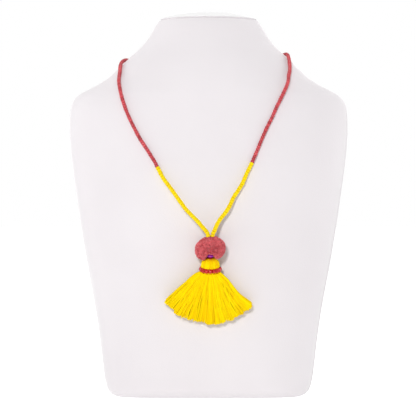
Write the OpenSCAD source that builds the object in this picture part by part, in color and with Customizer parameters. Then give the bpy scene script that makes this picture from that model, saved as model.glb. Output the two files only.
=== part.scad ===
/* [Bust] */
// height of the neck bust, from its foot to the top of its domed cap
bust_h = 304; // [290:1:318]
// width over the shoulders
bust_w = 222; // [210:1:234]
// how far the chest stands in front of the neck's middle
chest_d = 56; // [52:1:60]
// how far the back stands behind the neck's middle
back_d = 44; // [40:1:48]

/* [Strings] */
// diameter of the two strings of seed beads
string_d = 3.1; // [2.7:0.1:3.4]
// clear space left between pieces that lie on each other
rest_gap = 0.3; // [0.2:0.05:0.4]
// diameter of the barrel clasp at the nape
clasp_d = 5.6; // [5:0.1:6.4]
// length of the barrel clasp
clasp_l = 14; // [12:0.5:15]

/* [Pompom] */
// width of the clipped-yarn pompom
pompom_w = 24; // [23:0.5:25]
// height of the pompom
pompom_h = 18.6; // [17.8:0.2:19.4]
// diameter of the purple bead in the notch under the pompom
purple_d = 6; // [5.4:0.1:6.4]
// height of the purple bead
purple_h = 2.8; // [2.6:0.1:3]
// diameter of the small garnet bead below it
garnet_d = 3.6; // [3.2:0.1:4]
// height of the garnet bead
garnet_h = 1.8; // [1.6:0.1:2]

/* [Tassel] */
// width of the tassel's head
head_w = 14.4; // [13.8:0.1:15]
// outer diameter of the ring of seed beads round the tassel's waist
band_w = 17.4; // [17:0.1:18]
// length of the fringe from the ring to its cut ends
fringe_l = 42; // [38:0.5:45]
// how far each side of the fringe fans out from straight down
fan_angle = 52; // [46:1:58]

/* [Hidden] */

// the bust's level sections, as shares of its height, half width, chest and back
// [height, half width, front, back, squareness of the front, squareness of the back]
SECTIONS = [
    [0.000, 0.667, 0.760, 0.850, 4.8, 4.4],
    [0.005, 0.695, 0.810, 0.905, 4.7, 4.3],
    [0.016, 0.720, 0.857, 0.955, 4.4, 4.2],
    [0.039, 0.740, 0.893, 0.985, 4.0, 4.0],
    [0.079, 0.757, 0.918, 1.000, 3.5, 3.8],
    [0.145, 0.780, 0.943, 1.005, 3.0, 3.5],
    [0.217, 0.810, 0.968, 1.005, 2.7, 3.3],
    [0.296, 0.850, 0.993, 0.996, 2.6, 3.2],
    [0.375, 0.890, 1.000, 0.982, 2.5, 3.1],
    [0.454, 0.925, 0.993, 0.964, 2.4, 3.0],
    [0.533, 0.956, 0.968, 0.941, 2.35, 2.9],
    [0.605, 0.983, 0.932, 0.918, 2.3, 2.8],
    [0.671, 0.998, 0.889, 0.891, 2.25, 2.7],
    [0.724, 0.998, 0.850, 0.869, 2.2, 2.55],
    [0.750, 0.990, 0.828, 0.855, 2.15, 2.45],
    [0.766, 0.974, 0.814, 0.846, 2.1, 2.35],
    [0.780, 0.940, 0.801, 0.837, 2.1, 2.3],
    [0.793, 0.878, 0.787, 0.826, 2.1, 2.25],
    [0.809, 0.794, 0.769, 0.812, 2.1, 2.2],
    [0.826, 0.722, 0.748, 0.797, 2.1, 2.2],
    [0.842, 0.674, 0.725, 0.778, 2.1, 2.15],
    [0.859, 0.624, 0.700, 0.758, 2.1, 2.1],
    [0.875, 0.582, 0.673, 0.738, 2.05, 2.05],
    [0.891, 0.534, 0.643, 0.715, 2, 2],
    [0.911, 0.476, 0.604, 0.686, 2, 2],
    [0.934, 0.428, 0.561, 0.652, 2, 2],
    [0.954, 0.396, 0.525, 0.620, 2, 2],
    [0.970, 0.368, 0.490, 0.585, 2, 2],
    [0.979, 0.350, 0.462, 0.555, 2, 2],
    [0.984, 0.325, 0.425, 0.515, 2, 2],
    [0.990, 0.270, 0.350, 0.430, 2, 2],
    [0.996, 0.180, 0.235, 0.290, 2, 2],
    [1.000, 0.070, 0.090, 0.110, 2, 2]
];
// tallest step between two lofted levels, as a share of the height
LEVEL_STEP = 0.028;
// sides of the bust's mesh
BUST_SIDES = 44;
// how far the loft runs below the foot before it is cut flat
CUT_DEPTH = 5;

// where each side of the loop lies on the bust, from the nape round to the pompom
// [height share, turn from the front, lift off the skin]
LEFT_ROUTE = [
    [0.869, -162, 0.9],
    [0.869, -143, 0.3],
    [0.870, -124, 0.3],
    [0.872, -108, 0.3],
    [0.871, -96, 0.3],
    [0.866, -87, 0.3],
    [0.857, -78, 0.3],
    [0.841, -67, 0.3],
    [0.823, -58.2, 0.3],
    [0.800, -47.3, 0.3],
    [0.775, -38.8, 0.3],
    [0.745, -34.3, 0.3],
    [0.714, -31.2, 0.3],
    [0.683, -28, 0.3],
    [0.652, -24.6, 0.4],
    [0.621, -21.2, 0.7],
    [0.588, -18, 1.3],
    [0.555, -14.9, 2.4],
    [0.519, -10.8, 4],
    [0.484, -6.9, 6.2],
    [0.449, -2.6, 9.2]
];
RIGHT_ROUTE = [
    [0.870, 162, 0.9],
    [0.874, 143, 0.3],
    [0.880, 124, 0.3],
    [0.885, 108, 0.3],
    [0.886, 94, 0.3],
    [0.882, 82, 0.3],
    [0.872, 72, 0.3],
    [0.857, 63.5, 0.3],
    [0.840, 56, 0.3],
    [0.822, 48.1, 0.3],
    [0.800, 39.2, 0.3],
    [0.775, 31.3, 0.3],
    [0.744, 26.5, 0.3],
    [0.713, 23.5, 0.3],
    [0.683, 20.5, 0.3],
    [0.652, 18.1, 0.4],
    [0.626, 16.2, 0.7],
    [0.599, 14.3, 1],
    [0.555, 11.2, 2.4],
    [0.519, 8, 4],
    [0.484, 5.5, 6.2],
    [0.449, 2.4, 9.2]
];
// route point at which the beads change from red to yellow
LEFT_CHANGE = 17;
RIGHT_CHANGE = 18;
// rings and sides of the tubes that stand for the strings
RED_RINGS = 26;
YELLOW_RINGS = 10;
STRING_SIDES = 8;
// height of the clasp on the nape and of the pompom's middle on the chest
NAPE = 0.869;
HANG = 0.385;
// how far right of the middle the pendant hangs, and how it leans back
hang_x = 1.3;
hang_tilt = 13.5;
hang_off = pompom_w / 2 + 1;

// the drop cord and the hole it runs in
cord_d = 1;
cord_hole = cord_d + 2 * rest_gap;
// depths below the pompom's middle
purple_z = -5.8;
garnet_z = purple_z - purple_h / 2 - garnet_h / 2;
crest_z = -8;
dip_z = garnet_z - garnet_h / 2 - rest_gap;
socket_z = dip_z - 3.5;
band_z = -16.6;
string_r = string_d / 2;
waist_r = band_w / 2 - string_d - rest_gap;

// pompom tufts
TUFTS = 92;
// tufts left out where the tassel's head presses
BARE = 4;
TUFT_SIDES = 6;
GOLDEN = 137.508;
tuft_tip = 1.7;
tuft_root = 0.7;
pompom_core = 0.86;
notch_w = 6.6;
notch_top = purple_z + purple_h / 2 + rest_gap;

// the head's rings, from the dip over the crest to below its waist
// [radius as a share of the head's half width, depth, how deep the folds between its lobes are]
HEAD = [
    [0.13, dip_z, 0],
    [0.28, dip_z + 0.4, 0.05],
    [0.44, crest_z, 0.11],
    [0.66, crest_z - 0.8, 0.13],
    [0.86, crest_z - 1.9, 0.13],
    [0.98, crest_z - 3.9, 0.13],
    [0.99, crest_z - 5.3, 0.12],
    [0.83, crest_z - 6.9, 0.10],
    [0.70, band_z + 0.5, 0.05],
    [0.66, band_z - 2.4, 0.02]
];
LOBES = 15;
LOCK_SIDES = 6;
// how far the longest yarns of a lock stick out of its cut end
stray = 1.7;

// the fringe's layers of locks, back one first
// [locks, share of the fan, length share, distance off the chest, waist turn, half thickness]
LAYERS = [
    [11, 1.00, 1.00, 2.2, 180, 1.7],
    [10, 0.95, 0.985, 4.5, 180, 1.7],
    [11, 0.96, 0.965, 6.6, 0, 1.6]
];
// shares that make the cut ends uneven
UNEVEN = [1, 0.965, 0.99, 0.95, 1, 0.975, 0.955];
// [place along a lock, half width share, half thickness share]
LOCK = [
    [0.00, 0.42, 0.85],
    [0.12, 0.46, 0.85],
    [0.30, 0.56, 0.95],
    [0.52, 0.78, 1.00],
    [0.76, 1.00, 1.00],
    [1.00, 0.88, 0.72]
];

function unit(v) = v / norm(v);
function power(v, p) = sign(v) * pow(abs(v), p);

// the table's row below a height, its slope there, and the section at any height
function row_at(h) = max([for (i = [0:len(SECTIONS) - 2]) if (h >= SECTIONS[i][0] || i == 0) i]);
function slope(i) = let(
        a = SECTIONS[max(i - 1, 0)],
        b = SECTIONS[min(i + 1, len(SECTIONS) - 1)]
    ) (b - a) / (b[0] - a[0]);
function section(h) = let(
        i = row_at(h),
        a = SECTIONS[i],
        b = SECTIONS[i + 1],
        d = b[0] - a[0],
        u = (h - a[0]) / d
    ) (2 * pow(u, 3) - 3 * pow(u, 2) + 1) * a + (pow(u, 3) - 2 * pow(u, 2) + u) * d * slope(i)
        + (3 * pow(u, 2) - 2 * pow(u, 3)) * b + (pow(u, 3) - pow(u, 2)) * d * slope(i + 1);

// a point of a section, with the turn counted from the front to the right
function rim(s, turn) = let(
        front = cos(turn) >= 0,
        p = 2 / (front ? s[4] : s[5]),
        d = front ? s[2] * chest_d : s[3] * back_d
    ) [s[1] * bust_w / 2 * power(sin(turn), p), -d * power(cos(turn), p), s[0] * bust_h];
function skin(h, turn) = rim(section(h), turn);
function outward(h, turn) = unit(cross(
        skin(h, turn + 0.5) - skin(h, turn - 0.5),
        skin(h + 0.002, turn) - skin(h - 0.002, turn)));
function resting(h, turn, off) = skin(h, turn) + off * outward(h, turn);
// how far the chest stands forward at a place seen from the front
function chest(x, z) = let(s = section(z / bust_h))
    s[2] * chest_d * pow(1 - pow(abs(x) / (s[1] * bust_w / 2), s[4]), 1 / s[4]);

// the pendant's own frame: the pompom's middle, leaning back with the thread downwards
hang_z = HANG * bust_h;
hang_y = -chest(hang_x, hang_z) - hang_off;
function hung(p) = [
    hang_x + p[0],
    hang_y + p[1] * cos(hang_tilt) - p[2] * sin(hang_tilt),
    hang_z + p[1] * sin(hang_tilt) + p[2] * cos(hang_tilt)
];
module on_pendant() {
    translate([hang_x, hang_y, hang_z])
        rotate([hang_tilt, 0, 0])
            children();
}

// the two routes as points, with their ends at the clasp and beside each other on the pompom
nape = resting(NAPE, 180, clasp_d / 2 + 2 * rest_gap);
string_top = pompom_h / 2 + string_r + rest_gap;
function route(rows, side) = concat(
        [nape + [side * (clasp_l / 2 + 2 * rest_gap), 0, 0]],
        [for (r = rows) resting(r[0], r[1], string_r + r[2])],
        [hung([side * (string_r + rest_gap), 0, string_top])]);
left_points = route(LEFT_ROUTE, -1);
right_points = route(RIGHT_ROUTE, 1);

// a smooth curve through points, at u counted in points
function smooth(p, u) = let(
        i = min(floor(u), len(p) - 2),
        t = u - i,
        b = p[i],
        c = p[i + 1],
        a = i > 0 ? p[i - 1] : 2 * b - c,
        d = i + 2 < len(p) ? p[i + 2] : 2 * c - b
    ) 0.5 * (2 * b + t * (c - a) + pow(t, 2) * (2 * a - 5 * b + 4 * c - d)
        + pow(t, 3) * (3 * b - a - 3 * c + d));
function heading(p, u) = unit(smooth(p, min(u + 0.05, len(p) - 1)) - smooth(p, max(u - 0.05, 0)));

// rings of points joined into one closed solid
module sweep(rings) {
    n = len(rings[0]);
    last = len(rings) - 1;
    polyhedron(
        points = [for (r = rings) each r],
        faces = concat(
            [[for (k = [0:n - 1]) k]],
            [for (i = [0:last - 1]) for (k = [0:n - 1]) each [
                [i * n + k, (i + 1) * n + k, (i + 1) * n + (k + 1) % n],
                [i * n + k, (i + 1) * n + (k + 1) % n, i * n + (k + 1) % n]
            ]],
            [[for (k = [n - 1:-1:0]) last * n + k]]),
        convexity = 6);
}

// an oval ring of points across a heading, its width square to the facing way
function oval(at, along, facing, half_w, half_t, sides) = let(
        w = unit(cross(along, facing)),
        t = cross(along, w)
    ) [for (k = [0:sides - 1]) let(a = 360 * (k + 0.5) / sides)
        at + half_w * cos(a) * w + half_t * sin(a) * t];

module string_of_beads(points, from, to, rings) {
    sweep([for (k = [0:rings - 1]) let(
            u = from + (to - from) * k / (rings - 1),
            at = smooth(points, u)
        ) oval(at, heading(points, u), unit([at[0], at[1], 0]), string_r, string_r, STRING_SIDES)]);
}

// a level to loft at, counted in steps of no more than LEVEL_STEP
levels = concat(
    [for (i = [0:len(SECTIONS) - 2]) let(
            a = SECTIONS[i][0],
            b = SECTIONS[i + 1][0],
            n = ceil((b - a) / LEVEL_STEP)
        ) for (k = [0:n - 1]) a + (b - a) * k / n],
    [1]);

module bust() {
    foot = section(0);
    color("white")
    difference() {
        sweep(concat(
            [[for (k = [0:BUST_SIDES - 1]) rim(foot, 360 * k / BUST_SIDES) - [0, 0, CUT_DEPTH]]],
            [for (h = levels) let(s = section(h))
                [for (k = [0:BUST_SIDES - 1]) rim(s, 360 * k / BUST_SIDES)]]));
        translate([-bust_w, -bust_w, -4 * CUT_DEPTH])
            cube([2 * bust_w, 2 * bust_w, 4 * CUT_DEPTH]);
    }
}

module clasp() {
    collar = clasp_l / 7;
    color("silver")
    translate(nape)
        rotate([0, 90, 0])
            rotate_extrude()
                polygon([
                    [0, -clasp_l / 2],
                    [0.36 * clasp_d, -clasp_l / 2],
                    [0.36 * clasp_d, -clasp_l / 2 + collar],
                    [0.46 * clasp_d, -clasp_l / 2 + collar],
                    [0.50 * clasp_d, -clasp_l / 2 + 1.5 * collar],
                    [0.50 * clasp_d, clasp_l / 2 - 1.5 * collar],
                    [0.46 * clasp_d, clasp_l / 2 - collar],
                    [0.36 * clasp_d, clasp_l / 2 - collar],
                    [0.36 * clasp_d, clasp_l / 2],
                    [0, clasp_l / 2]
                ]);
}

module red_strand_left() {
    color("indianred")
    string_of_beads(left_points, 0, LEFT_CHANGE, RED_RINGS);
}

module red_strand_right() {
    color("indianred")
    string_of_beads(right_points, 0, RIGHT_CHANGE, RED_RINGS);
}

module yellow_strand_left() {
    color("gold")
    string_of_beads(left_points, LEFT_CHANGE + 0.03, len(left_points) - 1, YELLOW_RINGS);
}

module yellow_strand_right() {
    color("gold")
    string_of_beads(right_points, RIGHT_CHANGE + 0.03, len(right_points) - 1, YELLOW_RINGS);
}

// a bundle of clipped yarn that widens outwards
module tuft(turn, rise) {
    reach = [
        pompom_w / 2 * cos(rise),
        0,
        pompom_h / 2 * sin(rise)
    ];
    lean = atan2(reach[0], reach[2]);
    rotate([0, 0, turn])
        rotate([0, lean, 0])
            translate([0, 0, norm(reach) / 2])
                hull()
                    cylinder(h = norm(reach) / 2 - tuft_root / 2, r1 = tuft_root, r2 = tuft_tip, $fn = TUFT_SIDES);
}

module pompom() {
    color("indianred")
    on_pendant()
        difference() {
            union() {
                hull()
                    scale([pompom_w / 2, pompom_w / 2, pompom_h / 2] * pompom_core)
                        sphere(r = 1, $fn = 18);
                for (i = [0:TUFTS - 1 - BARE])
                    tuft(GOLDEN * i, asin(1 - (2 * i + 1) / TUFTS));
            }
            cylinder(h = 2 * pompom_h, d = cord_hole, center = true, $fn = 8);
            // the parted yarn in front of the beads
            hull()
                for (y = [0, -pompom_w / 2]) {
                    translate([0, y, notch_top - 1])
                        cylinder(h = 1, d1 = notch_w, d2 = notch_w - 2, $fn = 12);
                    translate([0, y, crest_z - 1])
                        cylinder(h = 1, d = notch_w + 2.4, $fn = 12);
                }
            // the dent the tassel's head presses
            hull()
                for (y = [0, -pompom_w / 2])
                    translate([0, y, crest_z + 1.3 - head_w / 2])
                        sphere(d = head_w, $fn = 16);
        }
}

module drop_cord() {
    color("gold")
    on_pendant()
        translate([0, 0, socket_z + rest_gap])
            cylinder(h = pompom_h / 2 - socket_z - 2 * rest_gap, d = cord_d);
}

module round_bead(d, h) {
    rotate_extrude()
        difference() {
            intersection() {
                scale([1, 1.25 * h / d])
                    circle(d = d);
                translate([0, -h / 2])
                    square([d, h]);
            }
            translate([0, -h])
                square([cord_hole / 2, 2 * h]);
        }
}

module purple_bead() {
    color("purple")
    on_pendant()
        translate([0, 0, purple_z])
            round_bead(purple_d, purple_h - rest_gap);
}

module garnet_bead() {
    color("maroon")
    on_pendant()
        translate([0, 0, garnet_z])
            round_bead(garnet_d, garnet_h - rest_gap);
}

// the wound head, with its lobes of folded yarn
module head() {
    sides = 4 * LOBES;
    sweep([for (row = HEAD)
        [for (k = [0:sides - 1]) let(
                turn = -360 * k / sides,
                r = row[0] * head_w / 2 * (1 - row[2] * (0.5 + 0.5 * cos(LOBES * turn)))
            ) [r * cos(turn), r * sin(turn), row[1]]]]);
}

// one lock of the fringe, from inside the ring to its cut end on the chest
module lock(layer, k) {
    n = layer[0];
    fan = (k - (n - 1) / 2) / ((n - 1) / 2);
    angle = fan * fan_angle * layer[1];
    reach = fringe_l * layer[2] * UNEVEN[(k * 3 + n) % len(UNEVEN)];
    middle = hung([0, 0, band_z]);
    waist = layer[4] + (layer[4] > 90 ? -1 : 1) * fan * 80;
    start = hung([0.4 * waist_r * sin(waist), -0.4 * waist_r * cos(waist), band_z - 0.6]);
    below = hung([0.7 * waist_r * sin(waist), -0.66 * waist_r * cos(waist), band_z - 3.4]);
    end_x = middle[0] + reach * sin(angle);
    end_z = middle[2] - reach * cos(angle);
    end = [end_x, -chest(end_x, end_z) - layer[3], end_z];
    bend = 0.5 * below + 0.5 * end;
    knee = [bend[0], min(bend[1], -chest(bend[0], bend[2]) - layer[3] - 0.6), bend[2]];
    spread = reach * 2 * fan_angle / (n - 1) * 3.1416 / 180 * 0.62;
    path = [start, below, knee, end];
    rings = [for (r = LOCK) let(u = r[0] * 3, at = smooth(path, u))
        oval(at, heading(path, u), [0, -1, 0], spread * r[1], layer[5] * r[2], LOCK_SIDES)];
    sweep(rings);
    // the yarns that stick out of the cut end
    along = heading(path, 3);
    aside = (k % 2 == 0 ? 0.38 : -0.42) * spread * unit(cross(along, [0, -1, 0]));
    hull() {
        translate(smooth(path, 2.8) + aside)
            sphere(r = 0.62 * layer[5], $fn = LOCK_SIDES);
        translate(end + aside + stray * along)
            sphere(r = 0.3 * layer[5], $fn = 4);
    }
}

module tassel() {
    color("gold")
    difference() {
        union() {
            on_pendant()
                head();
            for (layer = LAYERS)
                for (k = [0:layer[0] - 1])
                    lock(layer, k);
        }
        on_pendant()
            translate([0, 0, socket_z])
                cylinder(h = pompom_h, d = cord_hole, $fn = 8);
    }
}

module bead_band() {
    color("firebrick")
    on_pendant()
        translate([0, 0, band_z])
            rotate_extrude()
                translate([band_w / 2 - string_r, 0])
                    circle(d = string_d);
}

bust();
clasp();
red_strand_left();
red_strand_right();
yellow_strand_left();
yellow_strand_right();
pompom();
drop_cord();
purple_bead();
garnet_bead();
tassel();
bead_band();
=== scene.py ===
"""A tassel necklace on a neck bust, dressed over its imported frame.

Sizes are in millimetres up to the moment a mesh is made, and every mesh is in
metres in the row frame: Z up, the chest towards -Y, the foot at Z = 0.
"""

import sys
import logging
import math
import random
from dataclasses import dataclass, field
from enum import Enum
from typing import Any, Callable, Sequence

import bpy
from mathutils import Matrix, Vector


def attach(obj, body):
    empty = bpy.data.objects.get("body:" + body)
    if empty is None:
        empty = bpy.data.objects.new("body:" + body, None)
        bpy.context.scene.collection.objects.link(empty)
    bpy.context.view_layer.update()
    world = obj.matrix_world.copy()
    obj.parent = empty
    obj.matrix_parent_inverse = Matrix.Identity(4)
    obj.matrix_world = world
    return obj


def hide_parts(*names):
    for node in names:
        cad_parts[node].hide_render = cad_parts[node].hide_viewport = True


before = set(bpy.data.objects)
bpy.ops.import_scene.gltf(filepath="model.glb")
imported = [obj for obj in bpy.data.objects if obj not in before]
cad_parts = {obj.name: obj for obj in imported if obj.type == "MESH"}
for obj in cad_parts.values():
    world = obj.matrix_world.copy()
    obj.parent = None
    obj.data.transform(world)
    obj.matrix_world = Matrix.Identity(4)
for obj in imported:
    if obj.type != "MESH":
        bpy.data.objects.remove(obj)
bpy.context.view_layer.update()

MM = 0.001
log = logging.getLogger("tassel_necklace")

Colour = tuple[float, float, float]
Path = list[Vector]


class Body(Enum):
    """The bodies that pieces ride on."""

    ROOT = "root"


class Slot(Enum):
    """The record's material slots."""

    COVER = "bust_cover"
    RED_GLASS = "red_bead_glass"
    YELLOW_GLASS = "yellow_bead_glass"
    POMPOM_YARN = "pompom_yarn"
    TASSEL_YARN = "tassel_yarn"
    THREAD = "thread"
    PURPLE_GLASS = "purple_glass"
    GARNET_GLASS = "garnet_glass"
    METAL = "clasp_metal"


class Side(Enum):
    """The two sides of the loop, as the viewer sees them."""

    LEFT = -1
    RIGHT = 1


class Draw(Enum):
    """The random draws in the trees, each with what it adds to its tree's seed."""

    BEAD_TILT = 0
    BEAD_WIDTH = 7
    BEAD_LENGTH = 13
    BEAD_TONE = 29
    FIBRE_LEAN = 3
    FIBRE_LENGTH = 5
    FIBRE_WIDTH = 8
    FIBRE_TONE = 11


# Node trees


class Tree:
    """Adds and joins the nodes of one node tree."""

    def __init__(self, tree: Any) -> None:
        """Wrap a tree.

        Args:
            tree: a geometry or shader node tree.
        """
        self.tree = tree

    @staticmethod
    def pick(sockets: Any, name: str) -> Any:
        """The first live socket of that name.

        Args:
            sockets: a node's inputs or outputs.
            name: the socket's name.

        Returns:
            The socket.
        """
        for socket in sockets:
            if socket.name == name and socket.enabled:
                return socket
        raise KeyError(name)

    def add(self, kind: str, feeds: dict[str, Any] | None = None, **settings: Any) -> Any:
        """Add a node.

        Args:
            kind: the node's type.
            feeds: what each input takes, by name: a socket or a plain value.
            settings: the node's own properties.

        Returns:
            The new node.
        """
        node = self.tree.nodes.new(kind)
        for key, value in settings.items():
            setattr(node, key, value)
        for name, value in (feeds or {}).items():
            self.feed(self.pick(node.inputs, name), value)
        return node

    def out(self, kind: str, name: str, feeds: dict[str, Any] | None = None, **settings: Any) -> Any:
        """Add a node and give back one of its outputs.

        Args:
            kind: the node's type.
            name: the output's name.
            feeds: what each input takes, by name.
            settings: the node's own properties.

        Returns:
            The output socket.
        """
        return self.pick(self.add(kind, feeds, **settings).outputs, name)

    def feed(self, socket: Any, value: Any) -> None:
        """Link a socket into an input, or set the input's own value.

        Args:
            socket: the input.
            value: another node's output, or a plain value.
        """
        if isinstance(value, bpy.types.NodeSocket):
            self.tree.links.new(value, socket)
        else:
            socket.default_value = value

    def _work(self, kind: str, operation: str, values: Sequence[Any]) -> Any:
        """Add a node that works on its inputs in their order.

        Args:
            kind: the node's type.
            operation: the node's operation.
            values: one to three inputs.

        Returns:
            The first output socket.
        """
        node = self.add(kind, operation=operation)
        for socket, value in zip(node.inputs, values):
            self.feed(socket, value)
        return node.outputs[0]

    def math(self, operation: str, *values: Any) -> Any:
        """A Math node's result."""
        return self._work("ShaderNodeMath", operation, values)

    def vector_math(self, operation: str, *values: Any) -> Any:
        """A Vector Math node's vector result."""
        return self._work("ShaderNodeVectorMath", operation, values)

    def blend(self, factor: Any, a: Any, b: Any, kind: str = "FLOAT") -> Any:
        """A Mix node's result.

        Args:
            factor: how much of b there is, 0 to 1.
            a: the first value or colour.
            b: the second one.
            kind: FLOAT for values, RGBA for colours.

        Returns:
            The output socket.
        """
        return self.out("ShaderNodeMix", "Result", {"Factor": factor, "A": a, "B": b}, data_type=kind)

    def chance(self, low: Any, high: Any, seed: Any, draw: Draw, kind: str = "FLOAT") -> Any:
        """A random value for each point or instance.

        Args:
            low: the least value.
            high: the greatest.
            seed: the tree's seed.
            draw: which random draw it is.
            kind: FLOAT or FLOAT_VECTOR.

        Returns:
            The output socket.
        """
        return self.out("FunctionNodeRandomValue", "Value",
                        {"Min": low, "Max": high, "Seed": self.math("ADD", seed, draw.value)}, data_type=kind)

    def aim(self, way: Any, lean: Any, seed: Any, draw: Draw) -> Any:
        """A turn that takes Z along a direction, leans a little and rolls any way round.

        Args:
            way: the direction.
            lean: the most that it leans, in radians.
            seed: the tree's seed.
            draw: which random draw it is.

        Returns:
            The rotation socket.
        """
        along = self.out("FunctionNodeAlignRotationToVector", "Rotation", {"Vector": way}, axis="Z")
        most = self.out("ShaderNodeCombineXYZ", "Vector", {"X": lean, "Y": lean, "Z": math.pi})
        least = self.vector_math("MULTIPLY", most, (-1, -1, -1))
        turn = self.out("FunctionNodeEulerToRotation", "Rotation",
                        {"Euler": self.chance(least, most, seed, draw, "FLOAT_VECTOR")})
        return self.out("FunctionNodeRotateRotation", "Rotation", {"Rotation": along, "Rotate By": turn},
                        rotation_space="LOCAL")


def new_tree(name: str, kind: str, takes: Sequence[tuple[str, str, Any]],
             gives: Sequence[tuple[str, str]]) -> tuple[Tree, Any, Any]:
    """A new node tree with named inputs and outputs.

    Args:
        name: the tree's name.
        kind: GeometryNodeTree or ShaderNodeTree.
        takes: each input's name, socket type and default.
        gives: each output's name and socket type.

    Returns:
        The tree, its input node and its output node.
    """
    tree = bpy.data.node_groups.new(name, kind)
    for title, socket_type, default in takes:
        socket = tree.interface.new_socket(title, in_out="INPUT", socket_type=socket_type)
        if default is not None:
            socket.default_value = default
    for title, socket_type in gives:
        tree.interface.new_socket(title, in_out="OUTPUT", socket_type=socket_type)
    return Tree(tree), tree.nodes.new("NodeGroupInput"), tree.nodes.new("NodeGroupOutput")


def grow(carrier: bpy.types.Object, tree: bpy.types.NodeTree, inputs: dict[str, Any]) -> bpy.types.Object:
    """Run a Geometry Nodes tree on a mesh object and keep its result as a plain mesh.

    Args:
        carrier: the object whose mesh the tree starts from.
        tree: the tree.
        inputs: the modifier's inputs by their socket names.

    Returns:
        The same object, holding the result.
    """
    modifier = carrier.modifiers.new("grow", "NODES")
    modifier.node_group = tree
    for item in tree.interface.items_tree:
        if item.item_type == "SOCKET" and item.in_out == "INPUT" and item.name in inputs:
            modifier[item.identifier] = inputs[item.name]
    graph = bpy.context.evaluated_depsgraph_get()
    mesh = bpy.data.meshes.new_from_object(
        carrier.evaluated_get(graph), preserve_all_data_layers=True, depsgraph=graph)
    carrier.modifiers.clear()
    old, carrier.data = carrier.data, mesh
    mesh.name = carrier.name
    bpy.data.meshes.remove(old)
    return carrier


# Meshes


def put(name: str, data: Any) -> bpy.types.Object:
    """An object at the origin, linked to the scene.

    Args:
        name: its name.
        data: its mesh, light or camera.

    Returns:
        The object.
    """
    made = bpy.data.objects.new(name, data)
    bpy.context.scene.collection.objects.link(made)
    return made


def mesh_object(name: str, points: Sequence[Vector], faces: Sequence[Sequence[int]],
                material: bpy.types.Material | None = None, smooth: bool = True) -> bpy.types.Object:
    """A mesh object at the origin.

    Args:
        name: the piece's name.
        points: its vertices in millimetres.
        faces: its faces, wound to face outwards.
        material: its material.
        smooth: whether its faces are shaded smooth.

    Returns:
        The object, linked to the scene.
    """
    mesh = bpy.data.meshes.new(name)
    mesh.from_pydata([p * MM for p in points], [], faces)
    mesh.polygons.foreach_set("use_smooth", [smooth] * len(faces))
    if material:
        mesh.materials.append(material)
    mesh.update()
    return put(name, mesh)


def ring_faces(rings: int, sides: int) -> list[list[int]]:
    """The quads between rings of points that run along a form, wound to face outwards.

    Args:
        rings: how many rings.
        sides: points in each, counted against the clock seen from the far end.

    Returns:
        The faces.
    """
    return [[low + k, low + (k + 1) % sides, low + sides + (k + 1) % sides, low + sides + k]
            for low in range(0, (rings - 1) * sides, sides) for k in range(sides)]


def pole_faces(rings: int, sides: int) -> list[list[int]]:
    """The triangles from the first and last rings to the two poles, whose points follow the rings'.

    Args:
        rings: how many rings.
        sides: points in each.

    Returns:
        The faces.
    """
    low, last, faces = rings * sides, (rings - 1) * sides, []
    for k in range(sides):
        after = (k + 1) % sides
        faces += [[low, after, k], [low + 1, last + k, last + after]]
    return faces


def lathe(name: str, profile: Sequence[tuple[float, float]], sides: int,
          place: Matrix, material: bpy.types.Material | None,
          flute: Callable[[float, float], float] | None = None,
          closed: bool = False) -> bpy.types.Object:
    """A turned form.

    Args:
        name: the piece's name.
        profile: radius and height of each ring in millimetres, from the bottom up.
        sides: points in each ring.
        place: where the form's own axis goes, in millimetres.
        material: its material.
        flute: gives a factor on the radius from the turn and the height.
        closed: whether the profile is a loop, as a bead's is.

    Returns:
        The object.
    """
    points: Path = []
    for r, z in profile:
        for k in range(sides):
            turn = math.tau * k / sides
            reach = r * (flute(turn, z) if flute else 1.0)
            points.append(place @ Vector((reach * math.cos(turn), reach * math.sin(turn), z)))
    count = len(profile)
    faces = ring_faces(count, sides)
    if closed:
        last = (count - 1) * sides
        faces += [[last + k, last + (k + 1) % sides, (k + 1) % sides, k] for k in range(sides)]
    else:
        faces.append(list(range(sides))[::-1])
        faces.append(list(range((count - 1) * sides, count * sides)))
    return mesh_object(name, points, faces, material)


def polylines(name: str, paths: Sequence[Path], values: dict[str, Sequence[float]]) -> bpy.types.Object:
    """A mesh object of bare edges for a tree to grow on.

    Args:
        name: the piece's name.
        paths: the lines' points in millimetres.
        values: a number for each point by attribute name, all the lines' points in a row.

    Returns:
        The object.
    """
    points = [p for path in paths for p in path]
    edges, at = [], 0
    for path in paths:
        edges += [(at + i, at + i + 1) for i in range(len(path) - 1)]
        at += len(path)
    mesh = bpy.data.meshes.new(name)
    mesh.from_pydata([p * MM for p in points], edges, [])
    for title, numbers in values.items():
        mesh.attributes.new(title, "FLOAT", "POINT").data.foreach_set("value", list(numbers))
    return put(name, mesh)


def settle(piece: bpy.types.Object, slot: Slot, *nodes: str) -> None:
    """Ride a piece on the body, hide the CAD nodes that it stands for and log its triangles.

    Args:
        piece: the finished piece.
        slot: its material slot; not used.
        nodes: the CAD nodes that it replaces.
    """
    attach(piece, Body.ROOT.value)
    if nodes:
        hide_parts(*nodes)
    log.info("%s: %d triangles", piece.name, sum(len(face.vertices) - 2 for face in piece.data.polygons))


# Shader effects and finishes


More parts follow.
